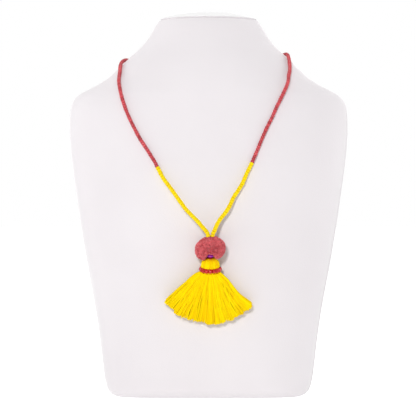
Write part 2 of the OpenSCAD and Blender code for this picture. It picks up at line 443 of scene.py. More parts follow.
class Effects:
    """The shader effects that several finishes share, each built once."""

    GRAIN_DETAIL = 3.0
    DRIFT_DETAIL = 2.0
    # the part of the slow noise that the two colours share out
    DRIFT_RANGE = (0.3, 0.7)
    # how full a ply's round back is, lower being fuller
    PLY_POWER = 0.6

    def __init__(self) -> None:
        """Build the groups."""
        self.grain = self._grain()
        self.drift = self._drift()
        self.twist = self._twist()

    def _grain(self) -> bpy.types.NodeTree:
        """Fine relief of two sizes, as a height and a mask.

        Returns:
            The group.
        """
        tree, takes, gives = new_tree(
            "fine_grain", "ShaderNodeTree",
            [("Vector", "NodeSocketVector", None), ("Cells", "NodeSocketFloat", 1000.0),
             ("Fibre", "NodeSocketFloat", 3000.0), ("Fibre Share", "NodeSocketFloat", 0.5)],
            [("Height", "NodeSocketFloat"), ("Mask", "NodeSocketFloat")])
        cells = tree.out("ShaderNodeTexVoronoi", "Distance",
                         {"Vector": takes.outputs["Vector"], "Scale": takes.outputs["Cells"]},
                         feature="SMOOTH_F1")
        fibre = tree.out("ShaderNodeTexNoise", "Fac",
                         {"Vector": takes.outputs["Vector"], "Scale": takes.outputs["Fibre"],
                          "Detail": self.GRAIN_DETAIL})
        domed = tree.math("SUBTRACT", 1.0, cells)
        tree.feed(gives.inputs["Height"], tree.blend(takes.outputs["Fibre Share"], domed, fibre))
        tree.feed(gives.inputs["Mask"], fibre)
        return tree.tree

    def _drift(self) -> bpy.types.NodeTree:
        """A slow change between two colours, with each strand's or bead's own tone on top.

        Returns:
            The group.
        """
        tree, takes, gives = new_tree(
            "tone_drift", "ShaderNodeTree",
            [("Vector", "NodeSocketVector", None), ("Light", "NodeSocketColor", (1, 1, 1, 1)),
             ("Dark", "NodeSocketColor", (0, 0, 0, 1)), ("Scale", "NodeSocketFloat", 100.0),
             ("Tone", "NodeSocketFloat", 0.5), ("Tone Share", "NodeSocketFloat", 0.5)],
            [("Color", "NodeSocketColor")])
        slow = tree.out("ShaderNodeTexNoise", "Fac",
                        {"Vector": takes.outputs["Vector"], "Scale": takes.outputs["Scale"],
                         "Detail": self.DRIFT_DETAIL})
        slow = tree.out("ShaderNodeMapRange", "Result",
                        {"Value": slow, "From Min": self.DRIFT_RANGE[0], "From Max": self.DRIFT_RANGE[1]})
        share = tree.blend(takes.outputs["Tone Share"], slow, takes.outputs["Tone"])
        colour = tree.blend(share, takes.outputs["Dark"], takes.outputs["Light"], "RGBA")
        tree.feed(gives.inputs["Color"], colour)
        return tree.tree

    def _twist(self) -> bpy.types.NodeTree:
        """The plies of a twisted yarn, from how far round and along it a point is, and a painted shade for
        the grooves between them.

        Returns:
            The group.
        """
        tree, takes, gives = new_tree(
            "ply_twist", "ShaderNodeTree",
            [("Round", "NodeSocketVector", None), ("Along", "NodeSocketFloat", 0.0),
             ("Plies", "NodeSocketFloat", 2.0), ("Turn Length", "NodeSocketFloat", 3.0)],
            [("Height", "NodeSocketFloat"), ("Groove", "NodeSocketFloat")])
        parts = tree.add("ShaderNodeSeparateXYZ", {"Vector": takes.outputs["Round"]})
        turn = tree.math("ARCTAN2", parts.outputs["Y"], parts.outputs["X"])
        along = tree.math("MULTIPLY", tree.math("DIVIDE", takes.outputs["Along"],
                                                takes.outputs["Turn Length"]), math.tau)
        phase = tree.math("MULTIPLY", tree.math("ADD", turn, along), takes.outputs["Plies"])
        wave = tree.math("ABSOLUTE", tree.math("SINE", tree.math("MULTIPLY", phase, 0.5)))
        tree.feed(gives.inputs["Height"], tree.math("POWER", wave, self.PLY_POWER))
        tree.feed(gives.inputs["Groove"], tree.math("SUBTRACT", 1.0, wave))
        return tree.tree


@dataclass(frozen=True)
class Blank:
    """A material in the making: its tree, its shader and its object coordinates."""

    material: bpy.types.Material
    tree: Tree
    shader: Any
    place: Any

    def feed(self, title: str, value: Any) -> None:
        """Link a value into one of the shader's inputs."""
        self.tree.feed(self.shader.inputs[title], value)


@dataclass(frozen=True)
class Finish:
    """What every finish has: two tones, gloss, sheen, coat and a fine grain."""

    name: str
    light: Colour
    dark: Colour
    roughness: float = 0.6
    sheen: float = 0.0
    sheen_roughness: float = 0.5
    sheen_tint: Colour = (1.0, 1.0, 1.0)
    coat: float = 0.0
    coat_roughness: float = 0.1
    metallic: float = 0.0
    specular: float = 0.5
    specular_tint: Colour = (1.0, 1.0, 1.0)
    # the scales of the slow change of tone, the grain's cells and its fibres
    drift: float = 14.0
    cells: float = 1150.0
    fibre: float = 2600.0
    fibre_share: float = 0.35
    # the strength and the depth of the relief
    bump: float = 0.35
    relief_mm: float = 0.22
    # the part of the grain's mask that the roughness follows
    mask_range: tuple[float, float] = (0.3, 0.7)

    def start(self) -> Blank:
        """A material with this finish's plain numbers on its shader.

        Returns:
            The material in the making.
        """
        material = bpy.data.materials.new(self.name)
        material.use_nodes = True
        shader = material.node_tree.nodes["Principled BSDF"]
        for title, value in {
            "Roughness": self.roughness, "Sheen Weight": self.sheen,
            "Sheen Roughness": self.sheen_roughness, "Sheen Tint": (*self.sheen_tint, 1.0),
            "Coat Weight": self.coat, "Coat Roughness": self.coat_roughness,
            "Metallic": self.metallic, "Specular IOR Level": self.specular,
            "Specular Tint": (*self.specular_tint, 1.0),
        }.items():
            shader.inputs[title].default_value = value
        material.diffuse_color = (*self.light, 1.0)
        tree = Tree(material.node_tree)
        return Blank(material, tree, shader, tree.out("ShaderNodeTexCoord", "Object"))

    def colour(self, blank: Blank, effects: Effects, tone: Any = 0.5, tone_share: float = 0.0) -> Any:
        """This finish's drifting colour.

        Args:
            blank: the material in the making.
            effects: the shared groups.
            tone: the strand's or bead's own tone.
            tone_share: how much of the change is that tone.

        Returns:
            The colour output.
        """
        return blank.tree.out("ShaderNodeGroup", "Color", {
            "Vector": blank.place, "Light": (*self.light, 1), "Dark": (*self.dark, 1),
            "Scale": self.drift, "Tone": tone, "Tone Share": tone_share}, node_tree=effects.drift)

    def grain(self, blank: Blank, effects: Effects) -> Any:
        """This finish's fine grain.

        Args:
            blank: the material in the making.
            effects: the shared groups.

        Returns:
            The group's node, which gives a height and a mask.
        """
        return blank.tree.add("ShaderNodeGroup", {
            "Vector": blank.place, "Cells": self.cells, "Fibre": self.fibre,
            "Fibre Share": self.fibre_share}, node_tree=effects.grain)

    def relief(self, blank: Blank, height: Any) -> None:
        """Feed a height to the shader's normal through a Bump node.

        Args:
            blank: the material in the making.
            height: the height output.
        """
        blank.feed("Normal", blank.tree.out("ShaderNodeBump", "Normal", {
            "Height": height, "Strength": self.bump, "Distance": self.relief_mm * MM}))

    def surface(self, blank: Blank, effects: Effects, low: float, high: float) -> None:
        """Give the shader the grain's relief, and a roughness that follows its mask.

        Args:
            blank: the material in the making.
            effects: the shared groups.
            low: the roughness where the mask is low.
            high: the roughness where it is high.
        """
        grain = self.grain(blank, effects)
        blank.feed("Roughness", blank.tree.out("ShaderNodeMapRange", "Result", {
            "Value": grain.outputs["Mask"], "From Min": self.mask_range[0],
            "From Max": self.mask_range[1], "To Min": low, "To Max": high}))
        self.relief(blank, grain.outputs["Height"])


@dataclass(frozen=True)
class Cover(Finish):
    """The bust's matt white covering, with the cap above its seam painted whiter as painted light on the
    neck's top.
    """

    rough_spread: float = 0.06
    # the cap's whiter colour is painted light: it stands for the brighter light falling on the neck's top
    painted_light_cap: Colour = (0.89, 0.885, 0.885)
    # the height in millimetres where the cap's painted light begins, and how soon it is full
    painted_light_z: float = 298.0
    painted_light_blend: float = 0.4

    def build(self, effects: Effects) -> bpy.types.Material:
        """Build the material.

        Args:
            effects: the shared groups.

        Returns:
            The material.
        """
        blank = self.start()
        height = blank.tree.out("ShaderNodeSeparateXYZ", "Z", {"Vector": blank.place})
        painted_light_share = blank.tree.out("ShaderNodeMapRange", "Result", {
            "Value": height, "From Min": self.painted_light_z * MM, "From Max": (self.painted_light_z + self.painted_light_blend) * MM})
        colour = self.colour(blank, effects)
        # above the seam the colour turns to the whiter cap tone, a painted light
        blank.feed("Base Color", blank.tree.blend(painted_light_share, colour, (*self.painted_light_cap, 1.0), "RGBA"))
        self.surface(blank, effects, self.roughness - self.rough_spread, self.roughness + self.rough_spread)
        return blank.material


@dataclass(frozen=True)
class Glass(Finish):
    """Opaque coloured bead glass, a little different from bead to bead."""

    drift: float = 420.0
    cells: float = 1500.0
    fibre: float = 1100.0
    fibre_share: float = 0.9
    bump: float = 0.12
    relief_mm: float = 0.08
    tone_share: float = 0.75
    # the least and the most of the roughness, as shares of it
    rough_shares: tuple[float, float] = (0.7, 1.4)

    def build(self, effects: Effects) -> bpy.types.Material:
        """Build the material.

        Args:
            effects: the shared groups.

        Returns:
            The material.
        """
        blank = self.start()
        tone = blank.tree.out("ShaderNodeAttribute", "Fac", attribute_name="bead_tone")
        blank.feed("Base Color", self.colour(blank, effects, tone, self.tone_share))
        self.surface(blank, effects, *(self.roughness * share for share in self.rough_shares))
        return blank.material


@dataclass(frozen=True)
class Yarn(Finish):
    """Dyed yarn, with its plies where it is twisted and bare fibres where it is clipped, and painted shade in
    the grooves between its plies.
    """

    drift: float = 260.0
    cells: float = 2600.0
    fibre: float = 5200.0
    fibre_share: float = 0.8
    bump: float = 0.8
    relief_mm: float = 0.2
    tone_share: float = 0.6
    twisted: bool = True
    plies: float = 2.0
    turn_mm: float = 2.6
    # how much of the relief is grain between the plies, and how dark the painted shade in the grooves between
    # the plies is
    grain_share: float = 0.3
    groove: float = 0.25

    def build(self, effects: Effects) -> bpy.types.Material:
        """Build the material.

        Args:
            effects: the shared groups.

        Returns:
            The material.
        """
        blank = self.start()
        tree = blank.tree
        tone = tree.out("ShaderNodeAttribute", "Fac", attribute_name="yarn_tone")
        colour = self.colour(blank, effects, tone, self.tone_share)
        height = self.grain(blank, effects).outputs["Height"]
        if self.twisted:
            twist = tree.add("ShaderNodeGroup", {
                "Round": tree.out("ShaderNodeAttribute", "Vector", attribute_name="yarn_round"),
                "Along": tree.out("ShaderNodeAttribute", "Fac", attribute_name="yarn_along"),
                "Plies": self.plies, "Turn Length": self.turn_mm}, node_tree=effects.twist)
            height = tree.blend(self.grain_share, twist.outputs["Height"], height)
            # the grooves between the plies are darkened towards the dark tone: painted shade
            shade = tree.math("MULTIPLY", twist.outputs["Groove"], self.groove)
            colour = tree.blend(shade, colour, (*self.dark, 1.0), "RGBA")
        blank.feed("Base Color", colour)
        self.relief(blank, height)
        return blank.material


@dataclass(frozen=True)
class PlatedMetal(Finish):
    """Bright plated metal with faint rubbing marks."""

    drift: float = 500.0
    cells: float = 900.0
    fibre: float = 1800.0
    fibre_share: float = 1.0
    bump: float = 0.05
    relief_mm: float = 0.03
    mask_range: tuple[float, float] = (0.35, 0.75)
    # the least and the most of the roughness, as shares of it
    rough_shares: tuple[float, float] = (0.6, 1.8)

    def build(self, effects: Effects) -> bpy.types.Material:
        """Build the material.

        Args:
            effects: the shared groups.

        Returns:
            The material.
        """
        blank = self.start()
        blank.feed("Base Color", self.colour(blank, effects))
        self.surface(blank, effects, *(self.roughness * share for share in self.rough_shares))
        return blank.material


# The lines that the pieces follow


@dataclass(frozen=True)
class BustForm:
    """The neck bust's smooth outer surface, in millimetres."""

    height: float = 304.0
    half_width: float = 111.0
    chest: float = 56.0
    back: float = 44.0
    # how near a section's side the chest is still read, as a share of the half width
    side_limit: float = 0.999
    # height, half width, front, back, squareness of the front, squareness of the back
    sections: tuple[tuple[float, ...], ...] = (
        (0.000, 0.667, 0.760, 0.850, 4.8, 4.4),
        (0.005, 0.695, 0.810, 0.905, 4.7, 4.3),
        (0.016, 0.720, 0.857, 0.955, 4.4, 4.2),
        (0.039, 0.740, 0.893, 0.985, 4.0, 4.0),
        (0.079, 0.757, 0.918, 1.000, 3.5, 3.8),
        (0.145, 0.780, 0.943, 1.005, 3.0, 3.5),
        (0.217, 0.810, 0.968, 1.005, 2.7, 3.3),
        (0.296, 0.850, 0.993, 0.996, 2.6, 3.2),
        (0.375, 0.890, 1.000, 0.982, 2.5, 3.1),
        (0.454, 0.925, 0.993, 0.964, 2.4, 3.0),
        (0.533, 0.956, 0.968, 0.941, 2.35, 2.9),
        (0.605, 0.983, 0.932, 0.918, 2.3, 2.8),
        (0.671, 0.998, 0.889, 0.891, 2.25, 2.7),
        (0.724, 0.998, 0.850, 0.869, 2.2, 2.55),
        (0.750, 0.990, 0.828, 0.855, 2.15, 2.45),
        (0.766, 0.974, 0.814, 0.846, 2.1, 2.35),
        (0.780, 0.940, 0.801, 0.837, 2.1, 2.3),
        (0.793, 0.878, 0.787, 0.826, 2.1, 2.25),
        (0.809, 0.794, 0.769, 0.812, 2.1, 2.2),
        (0.826, 0.722, 0.748, 0.797, 2.1, 2.2),
        (0.842, 0.674, 0.725, 0.778, 2.1, 2.15),
        (0.859, 0.624, 0.700, 0.758, 2.1, 2.1),
        (0.875, 0.582, 0.673, 0.738, 2.05, 2.05),
        (0.891, 0.534, 0.643, 0.715, 2.0, 2.0),
        (0.911, 0.476, 0.604, 0.686, 2.0, 2.0),
        (0.934, 0.428, 0.561, 0.652, 2.0, 2.0),
        (0.954, 0.396, 0.525, 0.620, 2.0, 2.0),
        (0.970, 0.368, 0.490, 0.585, 2.0, 2.0),
        (0.979, 0.350, 0.462, 0.555, 2.0, 2.0),
        (0.984, 0.325, 0.425, 0.515, 2.0, 2.0),
        (0.990, 0.270, 0.350, 0.430, 2.0, 2.0),
        (0.996, 0.180, 0.235, 0.290, 2.0, 2.0),
        (1.000, 0.070, 0.090, 0.110, 2.0, 2.0),
    )

    def _slope(self, i: int) -> list[float]:
        """The table's slope at a row.

        Args:
            i: the row.

        Returns:
            The change of each column for each unit of height.
        """
        a = self.sections[max(i - 1, 0)]
        b = self.sections[min(i + 1, len(self.sections) - 1)]
        return [(q - p) / (b[0] - a[0]) for p, q in zip(a, b)]

    def section(self, share: float) -> list[float]:
        """The level section at any height.

        Args:
            share: the height as a share of the whole.

        Returns:
            A row like the table's.
        """
        last = len(self.sections) - 2
        i = max([k for k in range(last + 1) if share >= self.sections[k][0] or k == 0])
        a, b = self.sections[i], self.sections[i + 1]
        d = b[0] - a[0]
        u = (share - a[0]) / d
        terms = (2 * u**3 - 3 * u**2 + 1, (u**3 - 2 * u**2 + u) * d,
                 3 * u**2 - 2 * u**3, (u**3 - u**2) * d)
        return [terms[0] * p + terms[1] * sp + terms[2] * q + terms[3] * sq
                for p, sp, q, sq in zip(a, self._slope(i), b, self._slope(i + 1))]

    def rim(self, row: Sequence[float], turn: float) -> Vector:
        """A point of a section.

        Args:
            row: the section.
            turn: degrees from the front to the viewer's right.

        Returns:
            The point.
        """
        s, c = math.sin(math.radians(turn)), math.cos(math.radians(turn))
        power = 2 / (row[4] if c >= 0 else row[5])
        deep = row[2] * self.chest if c >= 0 else row[3] * self.back
        return Vector((row[1] * self.half_width * math.copysign(abs(s) ** power, s),
                       -deep * math.copysign(abs(c) ** power, c), row[0] * self.height))

    def skin(self, share: float, turn: float) -> Vector:
        """The surface point at a height and a turn."""
        return self.rim(self.section(share), turn)

    def outward(self, share: float, turn: float) -> Vector:
        """The surface's outward direction.

        Args:
            share: the height as a share of the whole.
            turn: degrees from the front to the viewer's right.

        Returns:
            A direction one unit long.
        """
        aside, rise = 0.5, 0.002
        across = self.skin(share, turn + aside) - self.skin(share, turn - aside)
        up = self.skin(share + rise, turn) - self.skin(share - rise, turn)
        return across.cross(up).normalized()

    def resting(self, share: float, turn: float, off: float) -> Vector:
        """A point held off the surface by a distance."""
        return self.skin(share, turn) + off * self.outward(share, turn)

    def chest_at(self, x: float, z: float) -> float:
        """How far the chest stands forward at a place seen from the front.

        Args:
            x: across, in millimetres.
            z: the height.

        Returns:
            The distance in front of the neck's middle.
        """
        row = self.section(z / self.height)
        wide = min(abs(x) / (row[1] * self.half_width), self.side_limit)
        return row[2] * self.chest * (1 - wide ** row[4]) ** (1 / row[4])


@dataclass(frozen=True)
class Hang:
    """The pendant's own frame: the pompom's middle, leaning back with the thread downwards."""

    bust: BustForm
    # the pompom's middle: share of the bust's height, place across, distance off the chest
    share: float = 0.385
    x: float = 1.3
    off: float = 13.0
    # degrees that the pendant leans back
    tilt: float = 13.5

    @property
    def middle(self) -> Vector:
        """The pompom's middle."""
        z = self.share * self.bust.height
        return Vector((self.x, -self.bust.chest_at(self.x, z) - self.off, z))

    @property
    def matrix(self) -> Matrix:
        """Takes the pendant's own points to the row frame, in millimetres."""
        return Matrix.Translation(self.middle) @ Matrix.Rotation(math.radians(self.tilt), 4, "X")

    def point(self, x: float, y: float, z: float) -> Vector:
        """One of the pendant's own points in the row frame."""
        return self.matrix @ Vector((x, y, z))


def smooth_path(points: Sequence[Vector], u: float) -> Vector:
    """A smooth curve through points.

    Args:
        points: the points.
        u: the place, counted in points.

    Returns:
        The point at u.
    """
    i = min(int(u), len(points) - 2)
    t = u - i
    b, c = points[i], points[i + 1]
    a = points[i - 1] if i > 0 else 2 * b - c
    d = points[i + 2] if i + 2 < len(points) else 2 * c - b
    return 0.5 * (2 * b + t * (c - a) + t**2 * (2 * a - 5 * b + 4 * c - d)
                  + t**3 * (3 * b - a - 3 * c + d))


def table_value(rows: Sequence[Sequence[float]], x: float, column: int) -> float:
    """A value between a table's rows.

    Args:
        rows: the table, its first column rising.
        x: where in the first column.
        column: which column to read.

    Returns:
        The value.
    """
    if x <= rows[0][0]:
        return rows[0][column]
    for a, b in zip(rows, rows[1:]):
        if x <= b[0]:
            return a[column] + (b[column] - a[column]) * (x - a[0]) / (b[0] - a[0])
    return rows[-1][column]


@dataclass(frozen=True)
class Route:
    """One side's way from the nape to the pompom."""

    # height share, turn from the front in degrees, lift off the skin
    rows: tuple[tuple[float, float, float], ...]
    # where red gives way to yellow, counted in route points
    change: float
    # height, then how far the slack string strays from the route to the viewer's right
    strays: tuple[tuple[float, float], ...]


@dataclass(frozen=True)
class Loop:
    """The two sides of the necklace's loop, from the nape to the pompom."""

    bust: BustForm
    hang: Hang
    # where the clasp is, as a share of the bust's height
    nape: float = 0.869
    clasp_d: float = 5.6
    clasp_l: float = 14.0
    # the air between the pieces
    gap: float = 0.3
    string_r: float = 1.55
    # where the strings meet on the pendant's own axis
    string_top: float = 11.15
    # how finely a stretch is cut before its even steps are taken
    fine_steps: int = 1200
    left: Route = Route(
        rows=((0.869, -162, 0.9), (0.869, -143, 0.3), (0.870, -124, 0.3), (0.872, -108, 0.3),
              (0.871, -96, 0.3), (0.866, -87, 0.3), (0.857, -78, 0.3), (0.841, -67, 0.3),
              (0.823, -58.2, 0.3), (0.800, -47.3, 0.3), (0.775, -38.8, 0.3), (0.745, -34.3, 0.3),
              (0.714, -31.2, 0.3), (0.683, -28, 0.3), (0.652, -24.6, 0.4), (0.621, -21.2, 0.7),
              (0.588, -18, 1.3), (0.555, -14.9, 2.4), (0.519, -10.8, 4), (0.484, -6.9, 6.2),
              (0.449, -2.6, 9.2)),
        change=17.0,
        strays=((127, 0), (130, 0.3), (134, 0), (136.5, 0.2), (141, -0.2), (147.5, -0.3), (150.5, 0),
                (155, 0), (160.5, 0.3), (166, 0.2), (169, 0), (173, 0), (177.5, 0.25), (180, 0.2),
                (182.5, 0.6), (187, 0.3), (194, 0.25), (200.5, -0.15), (207.5, 0.2), (217, 0.25),
                (224, 0), (230.5, 0.1), (240, 0.45), (248, 0.2), (251.5, 0.4), (255, 0.8), (262, 0)))
    right: Route = Route(
        rows=((0.870, 162, 0.9), (0.874, 143, 0.3), (0.880, 124, 0.3), (0.885, 108, 0.3),
              (0.886, 94, 0.3), (0.882, 82, 0.3), (0.872, 72, 0.3), (0.857, 63.5, 0.3),
              (0.840, 56, 0.3), (0.822, 48.1, 0.3), (0.800, 39.2, 0.3), (0.775, 31.3, 0.3),
              (0.744, 26.5, 0.3), (0.713, 23.5, 0.3), (0.683, 20.5, 0.3), (0.652, 18.1, 0.4),
              (0.626, 16.2, 0.7), (0.599, 14.3, 1), (0.555, 11.2, 2.4), (0.519, 8, 4),
              (0.484, 5.5, 6.2), (0.449, 2.4, 9.2)),
        change=18.0,
        strays=((127, 0), (130, 0.3), (137, 0.1), (141, 0.2), (143.5, 0.65), (150, 0.55), (155, 0.3),
                (159.5, 0.9), (166, 1.0), (169, 0.65), (173.5, 0.3), (177.5, 0.6), (181, 0.8),
                (193, 0.75), (199, 0.55), (206, 0.65), (212, 0.35), (219, 0.3), (230, 0.6), (248, 0.6),
                (252, 0.1), (256, -0.2), (262, 0)))

    def route(self, side: Side) -> Route:
        """One side's route."""
        return self.left if side is Side.LEFT else self.right

    @property
    def clasp_middle(self) -> Vector:
        """The clasp's middle at the nape."""
        return self.bust.resting(self.nape, 180, self.clasp_d / 2 + 2 * self.gap)

    def points(self, side: Side) -> Path:
        """One side's route points.

        Args:
            side: which side.

        Returns:
            The points from the clasp to the pompom.
        """
        rows = self.route(side).rows
        start = self.clasp_middle + Vector((side.value * (self.clasp_l / 2 + 2 * self.gap), 0, 0))
        end = self.hang.point(side.value * (self.string_r + self.gap), 0, self.string_top)
        return [start, *(self.bust.resting(h, turn, self.string_r + lift) for h, turn, lift in rows), end]

    def stretch(self, side: Side, start: float, end: float, step: float = 0.5) -> Path:
        """One side's smooth line between two places, in even steps.

        Args:
            side: which side.
            start: where it starts, counted in route points.
            end: where it ends.
            step: the step in millimetres.

        Returns:
            Points about a step apart.
        """
        points = self.points(side)
        strays = self.route(side).strays
        fine = [smooth_path(points, start + (end - start) * k / self.fine_steps)
                for k in range(self.fine_steps + 1)]
        fine = [p + Vector((table_value(strays, p.z, 1), 0, 0)) for p in fine]
        lengths = [0.0]
        for a, b in zip(fine, fine[1:]):
            lengths.append(lengths[-1] + (b - a).length)
        count = max(int(lengths[-1] / step), 2)
        made, at = [], 0
        for k in range(count + 1):
            want = lengths[-1] * k / count
            while at < len(fine) - 2 and lengths[at + 1] < want:
                at += 1
            share = (want - lengths[at]) / (lengths[at + 1] - lengths[at])
            made.append(fine[at].lerp(fine[at + 1], min(max(share, 0.0), 1.0)))
        return made


def length_of(path: Sequence[Vector]) -> float:
    """A line's length in millimetres."""
    return sum((b - a).length for a, b in zip(path, path[1:]))


def part_of(path: Path, start: float, end: float) -> Path:
    """The part of a line between two distances from its start.

    Args:
        path: the line's points.
        start: the first distance in millimetres.
        end: the last distance.

    Returns:
        The part's points, its ends among them.
    """
    made, at = [], 0.0
    for a, b in zip(path, path[1:]):
        size = (b - a).length
        for limit in (start, end):
            if at <= limit < at + size:
                made.append(a.lerp(b, (limit - at) / size))
        if start < at + size < end:
            made.append(b)
        at += size
    if end >= at:
        made.append(path[-1])
    return made


# The bust


@dataclass
class NeckBust:
    """The plain white bust that holds the necklace."""

    form: BustForm
    sides: int = 132
    level_step: float = 2.2
    seam_z: float = 297.4
    seam_width: float = 1.3
    seam_depth: float = 1.8
    # how round the groove's bottom is, lower being rounder
    seam_power: float = 0.7
    # the rings near the seam, as shares of its width from its middle
    seam_rings: tuple[float, ...] = (-0.9, -0.5, -0.25, 0.0, 0.25, 0.5, 0.9)

    def _levels(self) -> list[float]:
        """The heights of the loft's rings, close together at the seam.

        Returns:
            Heights in millimetres from the foot up.
        """
        rows = [row[0] * self.form.height for row in self.form.sections]
        levels = []
        for a, b in zip(rows, rows[1:]):
            steps = max(1, math.ceil((b - a) / self.level_step))
            levels += [a + (b - a) * k / steps for k in range(steps)]
        near = [z for z in levels if abs(z - self.seam_z) > self.seam_width]
        seam = [self.seam_z + self.seam_width * share for share in self.seam_rings]
        return sorted([*near, *seam, self.form.height])

    def _ring(self, z: float) -> Path:
        """One ring, drawn in a little where the seam is.

        Args:
            z: its height.

        Returns:
            The ring's points.
        """
        row = self.form.section(z / self.form.height)
        near = max(0.0, 1 - abs(z - self.seam_z) / (0.5 * self.seam_width))
        inset = self.seam_depth * near**self.seam_power
        made = []
        for k in range(self.sides):
            p = self.form.rim(row, 360 * k / self.sides)
            flat = Vector((p.x, p.y, 0))
            made.append(p - flat.normalized() * inset)
        return made

    def build(self, cover: bpy.types.Material) -> None:
        """Build the bust's covered shell and its foot.

        Args:
            cover: the covering's material.
        """
        levels = self._levels()
        points = [p for z in levels for p in self._ring(z)]
        faces = ring_faces(len(levels), self.sides)
        faces += pole_faces(len(levels), self.sides)
        foot = len(points)
        points += [Vector((0, 0, 0)), Vector((0, 0, self.form.height))]
        piece = mesh_object("bust_cover", points, faces, cover)
        for polygon in piece.data.polygons:
            if foot in polygon.vertices:
                polygon.use_smooth = False
        settle(piece, Slot.COVER, "bust")


# Beads and the clasp


@dataclass(frozen=True)
class SeedBead:
    """One seed bead: a short drawn-glass tube with rounded ends."""

    diameter: float
    length: float
    hole: float = 0.9
    sides: int = 10
    rounds: int = 1
    # how much of the length the rounding at each end takes
    rounding: float = 0.30
    # the most of the wall that the rounding takes, and the share of it inside the hole
    wall_share: float = 0.7
    hole_share: float = 0.3

    def pattern(self) -> bpy.types.Object:
        """The bead that a tree repeats, with its hole along Z.

        Returns:
            The object, which the caller removes.
        """
        outer, inner, half = self.diameter / 2, self.hole / 2, self.length / 2
        edge = min(self.rounding * self.length, self.wall_share * (outer - inner))
        profile = [(inner, -half + self.hole_share * edge), (outer - edge, -half)]
        steps = [math.pi / 2 * (k + 1) / (self.rounds + 1) for k in range(self.rounds + 1)]
        profile += [(outer - edge + edge * math.sin(a), -half + edge - edge * math.cos(a)) for a in steps]
        profile += [(r, -z) for r, z in reversed(profile)]
        return lathe("bead_pattern", profile, self.sides, Matrix.Identity(4), None, closed=True)


def bead_string_tree() -> bpy.types.NodeTree:
    """The tree that strings beads along a line.

    Returns:
        The tree.
    """
    tree, takes, gives = new_tree(
        "bead_string", "GeometryNodeTree",
        [("Geometry", "NodeSocketGeometry", None), ("Beads", "NodeSocketInt", 10),
         ("Bead", "NodeSocketObject", None), ("Size Spread", "NodeSocketFloat", 0.05),
         ("Tilt Spread", "NodeSocketFloat", 0.08), ("Seed", "NodeSocketInt", 1),
         ("Glass", "NodeSocketMaterial", None)],
        [("Geometry", "NodeSocketGeometry")])
    given = takes.outputs
    line = tree.out("GeometryNodeMeshToCurve", "Curve", {"Mesh": given["Geometry"]})
    line = tree.out("GeometryNodeResampleCurve", "Curve", {"Curve": line, "Count": given["Beads"]},
                    mode="COUNT")
    tangent = tree.out("GeometryNodeInputTangent", "Tangent")
    turned = tree.aim(tangent, given["Tilt Spread"], given["Seed"], Draw.BEAD_TILT)
    low = tree.math("SUBTRACT", 1.0, given["Size Spread"])
    high = tree.math("ADD", 1.0, given["Size Spread"])
    wide = tree.chance(low, high, given["Seed"], Draw.BEAD_WIDTH)
    long = tree.chance(low, 1.0, given["Seed"], Draw.BEAD_LENGTH)
    scale = tree.out("ShaderNodeCombineXYZ", "Vector", {"X": wide, "Y": wide, "Z": long})
    bead = tree.out("GeometryNodeObjectInfo", "Geometry", {"Object": given["Bead"]})
    strung = tree.out("GeometryNodeInstanceOnPoints", "Instances",
                      {"Points": line, "Instance": bead, "Rotation": turned, "Scale": scale})
    tone = tree.chance(0.0, 1.0, given["Seed"], Draw.BEAD_TONE)
    strung = tree.out("GeometryNodeStoreNamedAttribute", "Geometry",
                      {"Geometry": strung, "Name": "bead_tone", "Value": tone},
                      data_type="FLOAT", domain="INSTANCE")
    strung = tree.out("GeometryNodeRealizeInstances", "Geometry", {"Geometry": strung})
    strung = tree.out("GeometryNodeSetMaterial", "Geometry", {"Geometry": strung, "Material": given["Glass"]})
    tree.feed(gives.inputs["Geometry"], strung)
    return tree.tree


def string_beads(name: str, tree: bpy.types.NodeTree, line: Path, bead: SeedBead,
                 inputs: dict[str, Any]) -> bpy.types.Object:
    """Beads on a line.

    Args:
        name: the piece's name.
        tree: the tree that strings beads.
        line: the way through the beads' middles.
        bead: the bead.
        inputs: the tree's other inputs by name.

    Returns:
        The piece.
    """
    pattern = bead.pattern()
    piece = grow(polylines(name, [line], {}), tree, {"Bead": pattern, **inputs})
    bpy.data.objects.remove(pattern)
    return piece


@dataclass
class BeadStrings:
    """The two sides of seed beads, red from the nape and yellow down to the pompom."""

    loop: Loop
    red: SeedBead = SeedBead(3.0, 2.1)
    yellow: SeedBead = SeedBead(3.3, 2.1, rounding=0.2)
    size_spread: float = 0.05
    tilt_spread: float = 0.05
    seeds: dict[Side, int] = field(default_factory=lambda: {Side.LEFT: 30, Side.RIGHT: 40})
    # where the lowest bead ends on the pendant's own axis
    landing: float = 8.7

    def build(self, tree: bpy.types.NodeTree, red: bpy.types.Material,
              yellow: bpy.types.Material) -> None:
        """Build the four strings.

        Args:
            tree: the tree that strings beads.
            red: the red glass.
            yellow: the yellow glass.
        """
        for side in Side:
            change, end = self.loop.route(side).change, len(self.loop.points(side)) - 1
            word = side.name.lower()
            parts = [("red", self.red, red, Slot.RED_GLASS, 0.0, change),
                     ("yellow", self.yellow, yellow, Slot.YELLOW_GLASS, change, end)]
            for name, bead, glass, slot, start, stop in parts:
                path = self.loop.stretch(side, start, stop)
                if name == "yellow":
                    path.append(self.loop.hang.point(side.value * self.loop.string_r, 0, self.landing))
                whole = length_of(path)
                count = round(whole / bead.length)
                pitch = whole / count
                line = part_of(path, pitch / 2, whole - pitch / 2)
                piece = string_beads(f"{name}_beads_{word}", tree, line, bead, {
                    "Beads": count, "Size Spread": self.size_spread, "Tilt Spread": self.tilt_spread,
                    "Seed": self.seeds[side], "Glass": glass})
                settle(piece, slot, f"{name}_strand_{word}")


